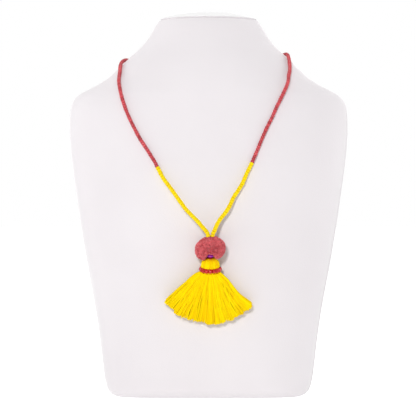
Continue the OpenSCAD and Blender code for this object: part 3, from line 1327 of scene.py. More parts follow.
@dataclass
class BeadRing:
    """The ring of red seed beads round the tassel's waist."""

    hang: Hang
    # where the ring is on the pendant's own axis
    depth: float = -16.6
    radius: float = 6.98
    beads: int = 16
    bead: SeedBead = SeedBead(3.45, 2.74, sides=24, rounds=4)
    size_spread: float = 0.04
    tilt_spread: float = 0.07
    seed: int = 5
    steps: int = 240

    def build(self, tree: bpy.types.NodeTree, glass: bpy.types.Material) -> None:
        """Build the ring.

        Args:
            tree: the tree that strings beads.
            glass: the red glass, made darker as painted shade.
        """
        ring = [self.hang.point(self.radius * math.cos(math.tau * k / self.steps),
                                self.radius * math.sin(math.tau * k / self.steps), self.depth)
                for k in range(self.steps - round(self.steps / self.beads) + 1)]
        piece = string_beads("bead_ring", tree, ring, self.bead, {
            "Beads": self.beads, "Size Spread": self.size_spread, "Tilt Spread": self.tilt_spread,
            "Seed": self.seed, "Glass": glass})
        settle(piece, Slot.RED_GLASS, "bead_band")


@dataclass
class DropBeads:
    """The purple bead and the small garnet bead in the notch under the pompom."""

    hang: Hang
    purple_d: float = 6.0
    purple_h: float = 2.5
    purple_z: float = -5.8
    garnet_d: float = 3.6
    garnet_h: float = 1.5
    garnet_z: float = -8.1
    hole: float = 1.3
    sides: int = 40
    # the lip round the hole: shares of the flat's width and of half the height
    lip: tuple[tuple[float, float], ...] = ((0.0, 0.7), (0.08, 0.94), (0.25, 1.0))
    # where the rounded flank starts across the flat, and its points in degrees
    flank_from: float = 0.3
    flank_turns: tuple[int, ...] = (15, 30, 45, 60, 75)

    def _bead(self, name: str, diameter: float, height: float, depth: float,
              glass: bpy.types.Material) -> bpy.types.Object:
        """One pressed round bead.

        Args:
            name: the piece's name.
            diameter: its diameter.
            height: its height.
            depth: where its middle is on the pendant's axis.
            glass: its material.

        Returns:
            The piece.
        """
        outer, inner, half = diameter / 2, self.hole / 2, height / 2
        flat = outer - inner
        profile = [(inner, 0.0)] + [(inner + share * flat, -rise * half) for share, rise in self.lip]
        start = self.flank_from
        profile += [(inner + start * flat + (1 - start) * flat * math.sin(a), -half * math.cos(a))
                    for a in map(math.radians, self.flank_turns)]
        profile += [(outer, 0.0)]
        profile += [(r, -z) for r, z in reversed(profile[1:-1])]
        place = self.hang.matrix @ Matrix.Translation((0, 0, depth))
        return lathe(name, profile, self.sides, place, glass, closed=True)

    def build(self, purple: bpy.types.Material, garnet: bpy.types.Material) -> None:
        """Build both beads.

        Args:
            purple: the purple glass.
            garnet: the garnet glass.
        """
        settle(self._bead("purple_glass_bead", self.purple_d, self.purple_h, self.purple_z, purple),
               Slot.PURPLE_GLASS, "purple_bead")
        settle(self._bead("garnet_glass_bead", self.garnet_d, self.garnet_h, self.garnet_z, garnet),
               Slot.GARNET_GLASS, "garnet_bead")


@dataclass
class BarrelClasp:
    """The screw barrel clasp at the nape."""

    loop: Loop
    grooves: int = 36
    groove_depth: float = 0.035
    # where the grooved grip starts and ends, as shares of half the length
    grip: tuple[float, float] = (0.06, 0.43)
    # one half's profile: shares of the radius and of half the length
    shape: tuple[tuple[float, float], ...] = (
        (0.28, -1.0), (0.66, -1.0), (0.72, -0.97), (0.72, -0.88), (0.60, -0.86), (0.60, -0.80),
        (0.80, -0.76), (0.92, -0.70), (0.98, -0.60), (1.0, -0.46), (0.985, -0.44), (1.0, -0.42),
        (1.0, -0.06), (0.94, -0.03), (0.94, 0.0))

    def build(self, metal: bpy.types.Material) -> None:
        """Build the clasp.

        Args:
            metal: the plated metal.
        """
        r, half = self.loop.clasp_d / 2, self.loop.clasp_l / 2
        shape = [*self.shape, *((a, -b) for a, b in reversed(self.shape[:-1]))]
        place = Matrix.Translation(self.loop.clasp_middle) @ Matrix.Rotation(math.pi / 2, 4, "Y")

        def knurl(turn: float, z: float) -> float:
            """The fine grooves round the grip.

            Args:
                turn: the angle round the clasp.
                z: the place along it.

            Returns:
                A factor on the radius.
            """
            if not self.grip[0] * half < abs(z) < self.grip[1] * half:
                return 1.0
            return 1 - self.groove_depth * (0.5 - 0.5 * math.cos(self.grooves * turn))

        profile = [(a * r, b * half) for a, b in shape]
        piece = lathe("barrel_clasp", profile, 4 * self.grooves, place, metal, knurl)
        settle(piece, Slot.METAL, "clasp")


# Yarn, the pompom and the tassel


def yarn_tree() -> bpy.types.NodeTree:
    """The tree that gives lines a yarn's round thickness.

    Returns:
        The tree.
    """
    tree, takes, gives = new_tree(
        "yarn_bundle", "GeometryNodeTree",
        [("Geometry", "NodeSocketGeometry", None), ("Yarn Diameter", "NodeSocketFloat", 0.0009),
         ("Ring Spacing", "NodeSocketFloat", 0.002), ("Sides", "NodeSocketInt", 7),
         ("Yarn", "NodeSocketMaterial", None)],
        [("Geometry", "NodeSocketGeometry")])
    given = takes.outputs
    line = tree.out("GeometryNodeMeshToCurve", "Curve", {"Mesh": given["Geometry"]})
    line = tree.out("GeometryNodeCurveSplineType", "Curve", {"Curve": line}, spline_type="CATMULL_ROM")
    line = tree.out("GeometryNodeResampleCurve", "Curve",
                    {"Curve": line, "Length": given["Ring Spacing"]}, mode="LENGTH")
    size = tree.out("GeometryNodeInputNamedAttribute", "Attribute", {"Name": "yarn_size"}, data_type="FLOAT")
    profile = tree.out("GeometryNodeCurvePrimitiveCircle", "Curve",
                       {"Resolution": given["Sides"],
                        "Radius": tree.math("MULTIPLY", given["Yarn Diameter"], 0.5)}, mode="RADIUS")
    around = tree.out("ShaderNodeVectorMath", "Vector",
                      {"Vector": tree.out("GeometryNodeInputPosition", "Position")}, operation="NORMALIZE")
    profile = tree.out("GeometryNodeStoreNamedAttribute", "Geometry",
                       {"Geometry": profile, "Name": "yarn_round", "Value": around},
                       data_type="FLOAT_VECTOR", domain="POINT")
    tube = tree.out("GeometryNodeCurveToMesh", "Mesh",
                    {"Curve": line, "Profile Curve": profile, "Scale": size, "Fill Caps": True})
    tube = tree.out("GeometryNodeSetShadeSmooth", "Geometry", {"Geometry": tube, "Shade Smooth": True})
    tube = tree.out("GeometryNodeRealizeInstances", "Geometry", {"Geometry": tube})
    tube = tree.out("GeometryNodeSetMaterial", "Geometry", {"Geometry": tube, "Material": given["Yarn"]})
    tree.feed(gives.inputs["Geometry"], tube)
    return tree.tree


@dataclass
class YarnLines:
    """Lines of yarn gathered up for the yarn tree, with each one's thickness and tone."""

    paths: list[Path] = field(default_factory=list)
    sizes: list[float] = field(default_factory=list)
    tones: list[float] = field(default_factory=list)
    alongs: list[float] = field(default_factory=list)

    def add(self, path: Path, tone: float, size: Callable[[float], float], shift: float = 0.0) -> None:
        """Add one yarn.

        Args:
            path: its points in millimetres.
            tone: its own tone, 0 to 1.
            size: its thickness share at a place from 0 to 1 along it.
            shift: how far its twist is turned on, in millimetres.
        """
        self.paths.append(path)
        whole, at = length_of(path), 0.0
        for i, p in enumerate(path):
            if i:
                at += (p - path[i - 1]).length
            self.sizes.append(size(at / whole))
            self.tones.append(tone)
            self.alongs.append(at + shift)

    def grow(self, name: str, tree: bpy.types.NodeTree, diameter: float, spacing: float,
             sides: int, yarn: bpy.types.Material) -> bpy.types.Object:
        """Make the yarns.

        Args:
            name: the piece's name.
            tree: the yarn tree.
            diameter: the yarn's diameter in millimetres.
            spacing: the distance between its rings.
            sides: the sides of a ring.
            yarn: the material.

        Returns:
            The piece.
        """
        piece = polylines(name, self.paths,
                          {"yarn_size": self.sizes, "yarn_tone": self.tones, "yarn_along": self.alongs})
        return grow(piece, tree, {"Yarn Diameter": diameter * MM, "Ring Spacing": spacing * MM,
                                  "Sides": sides, "Yarn": yarn})


@dataclass
class Pompom:
    """The clipped-yarn pompom: fibres in tufts that stand out from a wound core."""

    hang: Hang
    width: float = 23.4
    height: float = 18.3
    # the core's size as a share of the pompom, and how much of it is left where no fibre stands
    core: float = 0.70
    core_least: float = 0.72
    # the arch that the beads show through, as the viewer sees it: half width, top and foot
    arch_half: float = 4.5
    arch_top: float = -4.9
    arch_foot: float = -8.4
    # how far behind the pompom's middle the arch still reaches
    arch_behind: float = 1.0
    # the ball that the tassel's head takes up under it: how far forward, how high, its radius
    head_forward: float = 1.0
    head_middle: float = -15.6
    head_r: float = 7.6
    # how much fuller than an oval the shoulders and the cheeks are
    shoulders: float = -0.03
    cheeks: float = 0.07
    # how much higher it sits to the viewer's right, for each millimetre across
    slant: float = 0.075
    tuft: float = 1.7
    # how strongly a fibre turns to its tuft's middle, and how unevenly the tufts are set
    tuft_pull: float = 0.38
    tuft_jitter: float = 0.9
    # from a tuft's middle to its edge, in cell sizes, and the fibres' lengths there
    dome: tuple[float, float] = (0.15, 0.8)
    dome_lengths: tuple[float, float] = (1.02, 0.90)
    # how much of a fibre's tone is its own and not its tuft's
    own_tone: float = 0.3
    fibres: int = 8200
    fibre_w: float = 0.50
    fibre_widths: tuple[float, float] = (0.75, 1.2)
    length_spread: float = 0.15
    lean: float = 0.08
    # a fibre's rings, by radius, height and bend, its sides and the middle of its cut end
    fibre_rings: tuple[tuple[float, float, float], ...] = (
        (0.26, 0.0, 0.0), (0.38, 0.5, 0.05), (0.50, 0.94, -0.03))
    fibre_sides: int = 4
    fibre_end: tuple[float, float, float] = (0.04, 0.02, 1.0)
    # the least share of its length that a fibre is kept with
    least_reach: float = 0.08
    # the arch's width at its top as a share of its foot's, and where across it fibres start and are whole
    arch_narrow: float = 0.58
    arch_edge: tuple[float, float] = (0.75, 1.15)
    # how far outside and inside the tassel's head the fibres shorten
    head_room: float = 0.8
    # rings and sides of the core's mesh
    rings: int = 54
    sides: int = 84

    def _tip(self, way: Vector) -> Vector:
        """Where a full-length fibre ends.

        Args:
            way: the direction from the middle on a unit ball.

        Returns:
            The place in the pendant's frame.
        """
        rise = math.asin(max(-1.0, min(1.0, way.z)))
        full = 1 + (self.shoulders if rise > 0 else self.cheeks) * math.sin(2 * rise) ** 2
        tip = Vector((way.x * self.width / 2, way.y * self.width / 2, way.z * self.height / 2)) * full
        return tip + Vector((0, 0, self.slant * tip.x))

    def _reach(self, tip: Vector) -> float:
        """How much of a fibre is left where the beads and the tassel's head need room.

        Args:
            tip: where its full length ends.

        Returns:
            A share of the full length.
        """
        lean = math.tan(math.radians(self.hang.tilt))
        seen = tip.z + lean * tip.y
        if tip.y < self.arch_behind and seen < self.arch_top:
            share = min(1.0, (self.arch_top - seen) / (self.arch_top - self.arch_foot))
            near = abs(tip.x) / (self.arch_half * (self.arch_narrow + (1 - self.arch_narrow) * share))
            inner, outer = self.arch_edge
            if near < outer:
                return max(0.0, (near - inner) / (outer - inner))
        off = (tip - Vector((0, -self.head_forward, self.head_middle))).length - self.head_r
        return min(1.0, max(0.0, 0.5 + off / (2 * self.head_room))) if off < self.head_room else 1.0

    def _fibre(self) -> bpy.types.Object:
        """The fibre that the tree repeats: a unit long, a unit wide at its cut end.

        Returns:
            The object, which the caller removes.
        """
        rings, sides = self.fibre_rings, self.fibre_sides
        turns = [math.tau * k / sides for k in range(sides)]
        points = [Vector((r * math.cos(turn) + bend, r * math.sin(turn), z)) / MM
                  for r, z, bend in rings for turn in turns]
        end, last = len(points), (len(rings) - 1) * sides
        points.append(Vector(self.fibre_end) / MM)
        faces = ring_faces(len(rings), sides)
        faces += [[last + k, last + (k + 1) % sides, end] for k in range(sides)]
        return mesh_object("fibre_pattern", points, faces)

    def _core(self, name: str) -> bpy.types.Object:
        """The wound core, with each point's fibre direction and share of length.

        Args:
            name: the piece's name.

        Returns:
            The object that a pile grows on.
        """
        ways = [Vector((math.sin(a) * math.cos(b), math.sin(a) * math.sin(b), -math.cos(a)))
                for a in (math.pi * i / self.rings for i in range(1, self.rings))
                for b in (math.tau * k / self.sides for k in range(self.sides))]
        ways += [Vector((0, 0, -1)), Vector((0, 0, 1))]
        tips = [self._tip(way) for way in ways]
        faces = ring_faces(self.rings - 1, self.sides) + pole_faces(self.rings - 1, self.sides)
        reaches = [self._reach(tip) for tip in tips]
        roots = [self.core * (self.core_least + (1 - self.core_least) * reach) for reach in reaches]
        piece = mesh_object(name, [self.hang.matrix @ (tip * root) for tip, root in zip(tips, roots)], faces)
        turn = self.hang.matrix.to_3x3()
        outs = [turn @ (tip * (1 - root)) * MM for tip, root in zip(tips, roots)]
        piece.data.attributes.new("fibre_reach", "FLOAT", "POINT").data.foreach_set("value", reaches)
        piece.data.attributes.new("fibre_way", "FLOAT_VECTOR", "POINT").data.foreach_set(
            "vector", [c for out in outs for c in out])
        return piece

    def _tree(self) -> bpy.types.NodeTree:
        """The tree that sets clipped fibres in tufts all over the core.

        Returns:
            The tree.
        """
        tree, takes, gives = new_tree(
            "clipped_pompom", "GeometryNodeTree",
            [("Geometry", "NodeSocketGeometry", None), ("Fibre", "NodeSocketObject", None),
             ("Density", "NodeSocketFloat", 1000.0), ("Tuft Size", "NodeSocketFloat", 0.001),
             ("Tuft Pull", "NodeSocketFloat", 0.5), ("Fibre Width", "NodeSocketFloat", 0.0004),
             ("Length Spread", "NodeSocketFloat", 0.1), ("Lean", "NodeSocketFloat", 0.2),
             ("Keep Core", "NodeSocketBool", True), ("Seed", "NodeSocketInt", 1),
             ("Yarn", "NodeSocketMaterial", None)],
            [("Geometry", "NodeSocketGeometry")])
        given = takes.outputs
        seed = given["Seed"]
        reach = tree.out("GeometryNodeInputNamedAttribute", "Attribute", {"Name": "fibre_reach"},
                         data_type="FLOAT")
        way = tree.out("GeometryNodeInputNamedAttribute", "Attribute", {"Name": "fibre_way"},
                       data_type="FLOAT_VECTOR")
        spots = tree.out("GeometryNodeDistributePointsOnFaces", "Points",
                         {"Mesh": given["Geometry"], "Density": given["Density"], "Seed": seed},
                         distribute_method="RANDOM")
        place = tree.out("GeometryNodeInputPosition", "Position")
        cells = tree.add("ShaderNodeTexVoronoi",
                         {"Vector": place, "Scale": tree.math("DIVIDE", 1.0, given["Tuft Size"]),
                          "Randomness": self.tuft_jitter}, feature="F1")
        apart = tree.out("ShaderNodeSeparateXYZ", "X", {"Vector": cells.outputs["Color"]})
        own = tree.chance(0.0, 1.0, seed, Draw.FIBRE_TONE)
        spots = tree.out("GeometryNodeStoreNamedAttribute", "Geometry",
                         {"Geometry": spots, "Name": "yarn_tone",
                          "Value": tree.blend(self.own_tone, apart, own)},
                         data_type="FLOAT", domain="POINT")
        inward = tree.vector_math("SUBTRACT", cells.outputs["Position"], place)
        pull = tree.out("ShaderNodeVectorMath", "Vector", {"Vector": inward, "Scale": given["Tuft Pull"]},
                        operation="SCALE")
        turned = tree.aim(tree.vector_math("ADD", way, pull), given["Lean"], seed, Draw.FIBRE_LEAN)
        full = tree.out("ShaderNodeVectorMath", "Value", {"Vector": way}, operation="LENGTH")
        domed = tree.out("ShaderNodeMapRange", "Result",
                         {"Value": cells.outputs["Distance"], "From Min": self.dome[0],
                          "From Max": self.dome[1], "To Min": self.dome_lengths[0],
                          "To Max": self.dome_lengths[1]})
        uneven = tree.chance(tree.math("SUBTRACT", 1.0, given["Length Spread"]),
                             tree.math("ADD", 1.0, given["Length Spread"]), seed, Draw.FIBRE_LENGTH)
        long = tree.math("MULTIPLY", tree.math("MULTIPLY", full, reach), tree.math("MULTIPLY", domed, uneven))
        wide = tree.math("MULTIPLY", given["Fibre Width"],
                         tree.chance(*self.fibre_widths, seed, Draw.FIBRE_WIDTH))
        scale = tree.out("ShaderNodeCombineXYZ", "Vector", {"X": wide, "Y": wide, "Z": long})
        fibre = tree.out("GeometryNodeObjectInfo", "Geometry", {"Object": given["Fibre"]})
        kept = tree.out("FunctionNodeCompare", "Result", {"A": reach, "B": self.least_reach},
                        data_type="FLOAT", operation="GREATER_THAN")
        pile = tree.out("GeometryNodeInstanceOnPoints", "Instances",
                        {"Points": spots, "Selection": kept, "Instance": fibre, "Rotation": turned,
                         "Scale": scale})
        pile = tree.out("GeometryNodeRealizeInstances", "Geometry", {"Geometry": pile})
        core = tree.out("GeometryNodeSwitch", "Output",
                        {"Switch": given["Keep Core"], "True": given["Geometry"]}, input_type="GEOMETRY")
        both = tree.add("GeometryNodeJoinGeometry")
        for part in (core, pile):
            tree.feed(both.inputs["Geometry"], part)
        whole = tree.out("GeometryNodeSetMaterial", "Geometry",
                         {"Geometry": both.outputs["Geometry"], "Material": given["Yarn"]})
        tree.feed(gives.inputs["Geometry"], whole)
        return tree.tree

    def build(self, yarn: bpy.types.Material) -> None:
        """Build the pompom in two piles of fibres, the first with the core.

        Args:
            yarn: its yarn.
        """
        tree, fibre = self._tree(), self._fibre()
        for name, seed, keep in (("pompom_pile", 21, True), ("pompom_top_pile", 57, False)):
            piece = self._core(name)
            area = sum(face.area for face in piece.data.polygons)
            grow(piece, tree, {"Fibre": fibre, "Density": self.fibres / area,
                               "Tuft Size": self.tuft * self.core * MM, "Tuft Pull": self.tuft_pull,
                               "Fibre Width": self.fibre_w * MM, "Length Spread": self.length_spread,
                               "Lean": self.lean, "Keep Core": keep, "Seed": seed, "Yarn": yarn})
            settle(piece, Slot.POMPOM_YARN, "pompom")
        bpy.data.objects.remove(fibre)


@dataclass
class DropCord:
    """The thread that both strings end in, down through the pompom and the beads into the tassel."""

    hang: Hang
    loop: Loop
    diameter: float = 1.0
    sides: int = 10
    spacing: float = 0.5
    # its points down the pendant's own axis
    heights: tuple[float, ...] = (9.2, 4.0, -2.0, -7.0, -12.5)
    # how the strings' ends run together: across, then up the axis
    meeting: tuple[tuple[float, float], ...] = ((1.5, 10.2), (0.5, 9.0), (0.0, 7.6))
    meeting_size: float = 0.62
    # the thread's own tone, and that of the strings' ends
    tone: float = 0.5
    meeting_tone: float = 0.4
    # the thinner thread inside the strings of beads
    strung_d: float = 0.6
    strung_sides: int = 5
    strung_spacing: float = 3.0
    # where that thread ends in the clasp, as a share of the clasp's length from its middle
    anchor: float = 0.45

    def build(self, tree: bpy.types.NodeTree, thread: bpy.types.Material) -> None:
        """Build the cord, and the thinner thread inside the strings of beads.

        Args:
            tree: the yarn tree.
            thread: its material.
        """
        lines = YarnLines()
        lines.add([self.hang.point(0, 0, z) for z in self.heights], self.tone, lambda u: 1.0)
        for side in Side:
            path = [self.hang.point(side.value * x, 0, z) for x, z in self.meeting]
            lines.add([self.loop.points(side)[-1], *path], self.meeting_tone, lambda u: self.meeting_size)
        piece = lines.grow("drop_thread", tree, self.diameter, self.spacing, self.sides, thread)
        settle(piece, Slot.THREAD, "drop_cord")
        strung = YarnLines()
        for side in Side:
            anchor = self.loop.clasp_middle + Vector((side.value * self.anchor * self.loop.clasp_l, 0, 0))
            route = self.loop.stretch(side, 0, len(self.loop.points(side)) - 1, self.strung_spacing)
            strung.add([anchor, *route], self.tone, lambda u: 1.0)
        settle(strung.grow("string_threads", tree, self.strung_d, self.strung_spacing, self.strung_sides,
                           thread), Slot.THREAD)


@dataclass
class Tassel:
    """The yellow tassel: a head of folded yarns, tied at the ring, over a fringe that fans out."""

    hang: Hang
    bust: BustForm
    # places on the pendant's own axis: the dip in the head's top, its crest and the ring
    dip: float = -9.3
    crest: float = -8.0
    ring: float = -16.6
    head_half: float = 7.2
    waist: float = 4.6
    yarn_d: float = 0.92
    seed: int = 8
    # the spacing and the sides of a yarn's rings, and how far its twist may be turned on
    head_rings: tuple[float, int] = (0.75, 8)
    fringe_rings: tuple[float, int] = (1.6, 6)
    twist_shift: float = 3.0
    # how a head yarn differs: its turn in shares of a step, its lift, its swell, its skew and its wag
    head_turn: float = 0.16
    head_lift: tuple[float, float] = (-0.25, 0.15)
    head_swell: tuple[float, float] = (-0.25, 0.12)
    head_skew: float = 0.07
    head_wag: float = 0.025
    # the share of the half width that it swells beyond, and the part of the way where the skew is nothing
    swell_from: float = 0.5
    skew_still: float = 0.3
    # how much lower the inner layers lie, for the whole of the half width
    head_sink: float = 3.0
    # how far below the crest the lift ends, and the share of it that is left there
    lift_end: float = 5.0
    lift_left: float = 0.2
    # the head's layers from the inside out: how many yarns, and their share of its half width
    head_layers: tuple[tuple[int, float], ...] = ((38, 0.84), (50, 0.93), (58, 1.0))
    head_size: float = 1.12
    # the piece's name, the layers from the chest outwards and the yarns across each
    fringe: tuple[tuple[str, tuple[float, ...], int], ...] = (
        ("fringe_back", (0.0, 0.16, 0.33, 0.5), 62),
        ("fringe_front", (0.66, 0.82, 0.92, 1.0), 84))
    # distance from the ring's middle, then how far the fan's left and right edges turn from straight down
    edges: tuple[tuple[float, float, float], ...] = (
        (8.0, 76, 71), (10.4, 74.5, 66), (13.9, 70.5, 61.5), (17.5, 65, 58.6), (21.8, 61.6, 53),
        (29.8, 58.2, 50), (33.6, 57, 50), (40.6, 55.6, 50.9), (43.0, 55.5, 50.5))
    # turn from straight down towards the viewer's right, distance of the cut ends from the ring's middle
    reaches: tuple[tuple[float, float], ...] = (
        (-58, 40.4), (-54, 42.6), (-43, 41.6), (-38, 42.8), (-34, 43.0), (-26, 41.5), (-18, 40.7),
        (-7, 40.8), (3, 42.1), (7.5, 42.3), (16, 41.4), (26, 41.6), (36, 41.4), (44, 42.3), (47.5, 42.6),
        (51, 40.4), (53, 39.4))
    # where the front yarns part: turn, distance from the ring's middle, degrees that they move
    partings: tuple[tuple[float, float, float], ...] = (
        (-8, 19, 0.9), (39, 20, 2.0), (-25.5, 33, 1.2), (22, 27, 0.7), (-41, 25, 0.9), (5, 34, 0.5),
        (-33, 21, 0.9), (-16, 29, 0.7), (13, 20, 0.8), (31, 31, 0.9), (46, 30, 0.8))
    # how far from a parting's middle the yarns feel it: in degrees, then in millimetres along them
    parting_wide: float = 3.2
    parting_long: float = 8.0
    locks: int = 23
    # how far the locks' borders wander, in locks, and how fast they do with the depth and across
    lock_wander: tuple[float, float, float] = (0.4, 9.0, 4.0)
    # how far the yarns of a lock draw together, and where they are as long as the table says
    gather: float = 0.07
    cut_reach: float = 41.5
    # how much longer the yarns are than that, and how much shorter next to the chest
    extra: float = 0.75
    under_cut: float = 1.2
    # how unevenly single yarns and whole locks are cut
    cut_spread: tuple[float, float] = (-1.3, 0.3)
    lock_cut: float = 0.55
    # how fast the locks' cut goes up and down, from lock to lock and with the depth
    lock_wave: tuple[float, float] = (2.4, 2.0)
    # the most that a fringe yarn sways aside and rises out of its layer
    sway: float = 0.45
    rise: float = 0.35
    # how fast it sways and rises along its length, in radians
    sway_wave: float = 6.0
    rise_wave: float = 4.0
    # the share of the sway at its root, and of the sway's phase in the rise's
    sway_root: float = 0.4
    rise_phase: float = 0.7
    # how far a fringe yarn strays across its layer, in spacings, and out of it, in shares of the depth
    fringe_jitter: float = 0.45
    depth_jitter: float = 0.09
    # the half width of the layer next to the chest, and how much narrower the front one is
    layer_half: float = 1.01
    layer_narrower: float = 0.02
    # a fringe yarn's thickness at the ring, and how much it grows to its cut end
    fringe_size: tuple[float, float] = (0.92, 0.12)
    # the least distance of a fringe yarn's middle off the chest
    clear: float = 0.6
    # how far off the chest the back yarns are at their ends and at the ring, and how much more the front ones
    tip_off: tuple[float, float] = (0.9, 8.0)
    ring_off: tuple[float, float] = (4.3, 9.6)
    # how much of that difference is left where the yarns have come out of the ring
    fall: float = 0.81
    # the waist's oval across and deep, as shares of the waist, and the least square of its depth
    waist_oval: tuple[float, float] = (0.97, 0.9)
    waist_least: float = 0.3
    # a yarn's way out of the waist: shares of its place across and deep, then height from the ring
    way_out: tuple[tuple[float, float, float], ...] = (
        (0.9, 0.9, 1.6), (1.0, 1.0, -0.2), (1.2, 1.1, -2.3))
    # where the even points of a yarn start, from the ring's middle, and their shares of the way to its end
    fringe_start: float = 8.0
    fringe_marks: tuple[float, ...] = (0.0, 0.11, 0.24, 0.38, 0.53, 0.68, 0.84, 1.0)

    def _head(self, lines: YarnLines, dice: random.Random) -> None:
        """Add the head's folded yarns, inner ones first.

        Args:
            lines: the lines to add to.
            dice: a seeded source of small differences.
        """
        # share of the half width and height of a yarn's points, from the dip to under the ring
        shape = [(0.16, self.dip - 1.2), (0.22, self.dip + 0.2), (0.40, self.crest - 0.6),
                 (0.64, self.crest - 0.9), (0.80, self.crest - 1.9), (0.92, self.crest - 3.3),
                 (0.98, self.crest - 5.0), (1.0, self.crest - 6.1), (0.93, self.ring + 1.5),
                 (0.72, self.ring + 0.4), (0.66, self.ring - 1.8)]
        for count, share in self.head_layers:
            half = self.head_half * share - self.yarn_d / 2
            for k in range(count):
                turn = math.tau * (k + dice.uniform(-self.head_turn, self.head_turn)) / count
                lift = dice.uniform(*self.head_lift) - (1 - share) * self.head_sink
                swell = dice.uniform(*self.head_swell)
                skew = dice.uniform(-self.head_skew, self.head_skew)
                path = []
                for i, (r, z) in enumerate(shape):
                    reach = r * half + (swell if r > self.swell_from else 0.0)
                    drop = lift if z > self.crest - self.lift_end else lift * self.lift_left
                    skewed = skew * (i / (len(shape) - 1) - self.skew_still)
                    wag = turn + skewed + dice.uniform(-self.head_wag, self.head_wag)
                    path.append(self.hang.point(reach * math.sin(wag), -reach * math.cos(wag), z + drop))
                lines.add(path, dice.random(), lambda u: self.head_size, dice.uniform(0, self.twist_shift))

    def _turn(self, fan: float, reach: float, front: float) -> float:
        """The turn of a fringe yarn at a distance from the ring.

        Args:
            fan: its place across the fan, -1 to 1.
            reach: the distance from the ring's middle.
            front: how far to the front it lies, 0 to 1.

        Returns:
            Degrees from straight down towards the viewer's right.
        """
        turn = fan * table_value(self.edges, reach, 1 if fan < 0 else 2)
        for at, far, size in self.partings:
            near = (turn - at) / self.parting_wide
            push = size * math.copysign(math.exp(-abs(near)), near)
            push *= math.exp(-((reach - far) / self.parting_long) ** 2)
            turn += push * max(0.0, 2 * front - 1)
        return turn

    def _fringe_path(self, fan: float, depth: float, dice: random.Random) -> Path:
        """One fringe yarn.

        Args:
            fan: its place across the fan, -1 to 1.
            depth: its place from the chest outwards, 0 to 1.
            dice: a seeded source of small differences.

        Returns:
            Its points.
        """
        middle = self.hang.point(0, 0, self.ring)
        step = self.locks / 2
        # the lock that the yarn belongs to, whose borders wander with the depth
        wander, by_depth, by_fan = self.lock_wander
        lock = round(fan * step + wander * math.sin(by_depth * depth + by_fan * fan)) / step
        tip = fan + self.gather * (lock - fan)
        end = table_value(self.reaches, self._turn(tip, self.cut_reach, 0.0), 1)
        end += self.extra + dice.uniform(*self.cut_spread) - self.under_cut * (1 - depth)
        end += self.lock_cut * math.sin(self.lock_wave[0] * lock * step + self.lock_wave[1] * depth)
        # its way out of the waist, which is an oval
        wide, deep = self.waist_oval
        x0 = wide * self.waist * fan
        y0 = (1 - 2 * depth) * deep * math.sqrt(max(self.waist**2 - x0**2, self.waist_least))
        path = [self.hang.point(a * x0, b * y0, self.ring + up) for a, b, up in self.way_out]
        sway, phase = dice.uniform(-self.sway, self.sway), dice.uniform(0, math.tau)
        rise = dice.uniform(-self.rise, self.rise)
        at_tip = self.tip_off[0] + self.tip_off[1] * depth
        at_ring = self.ring_off[0] + self.ring_off[1] * depth
        for u in self.fringe_marks:
            reach = self.fringe_start + (end - self.fringe_start) * u
            blend = fan + (tip - fan) * u
            turn = math.radians(self._turn(blend, reach, depth))
            aside = sway * math.sin(phase + self.sway_wave * u)
            aside *= self.sway_root + (1 - self.sway_root) * u
            x = middle.x + reach * math.sin(turn) + aside * math.cos(turn)
            z = middle.z - reach * math.cos(turn) + aside * math.sin(turn)
            off = at_tip + (at_ring - at_tip) * (self.fall * (1 - u)) ** 2
            off += rise * math.sin(self.rise_phase * phase + self.rise_wave * u) * min(1.0, 2 * depth)
            path.append(Vector((x, -self.bust.chest_at(x, z) - max(off, self.clear), z)))
        return path

    def build(self, tree: bpy.types.NodeTree, yarn: bpy.types.Material) -> None:
        """Build the head and the fringe.

        Args:
            tree: the yarn tree.
            yarn: the yellow yarn.
        """
        dice = random.Random(self.seed)
        head = YarnLines()
        self._head(head, dice)
        piece = head.grow("tassel_head", tree, self.yarn_d, *self.head_rings, yarn)
        settle(piece, Slot.TASSEL_YARN, "tassel")
        for name, layers, across in self.fringe:
            lines = YarnLines()
            for layer in layers:
                narrow = self.layer_half - self.layer_narrower * layer
                for k in range(across):
                    stray = dice.uniform(-self.fringe_jitter, self.fringe_jitter)
                    fan = narrow * (2 * (k + 0.5 + stray) / across - 1)
                    depth = layer + dice.uniform(-self.depth_jitter, self.depth_jitter)
                    path = self._fringe_path(fan, min(max(depth, 0.0), 1.0), dice)
                    lines.add(path, dice.random(), lambda u: self.fringe_size[0] + self.fringe_size[1] * u,
                              dice.uniform(0, self.twist_shift))
            piece = lines.grow(name, tree, self.yarn_d, *self.fringe_rings, yarn)
            settle(piece, Slot.TASSEL_YARN, "tassel")


# The stage


@dataclass(frozen=True)
class Lamp:
    """One soft square light, in metres and watts."""

    name: str
    at: tuple[float, float, float]
    aim: tuple[float, float, float]
    size: float
    power: float

    def build(self) -> None:
        """Hang the light."""
        lamp = bpy.data.lights.new(self.name, "AREA")
        lamp.shape = "SQUARE"
        lamp.size, lamp.energy = self.size, self.power
        holder = put(self.name, lamp)
        holder.location = self.at
        holder.rotation_euler = (Vector(self.aim) - Vector(self.at)).to_track_quat("-Z", "Y").to_euler()


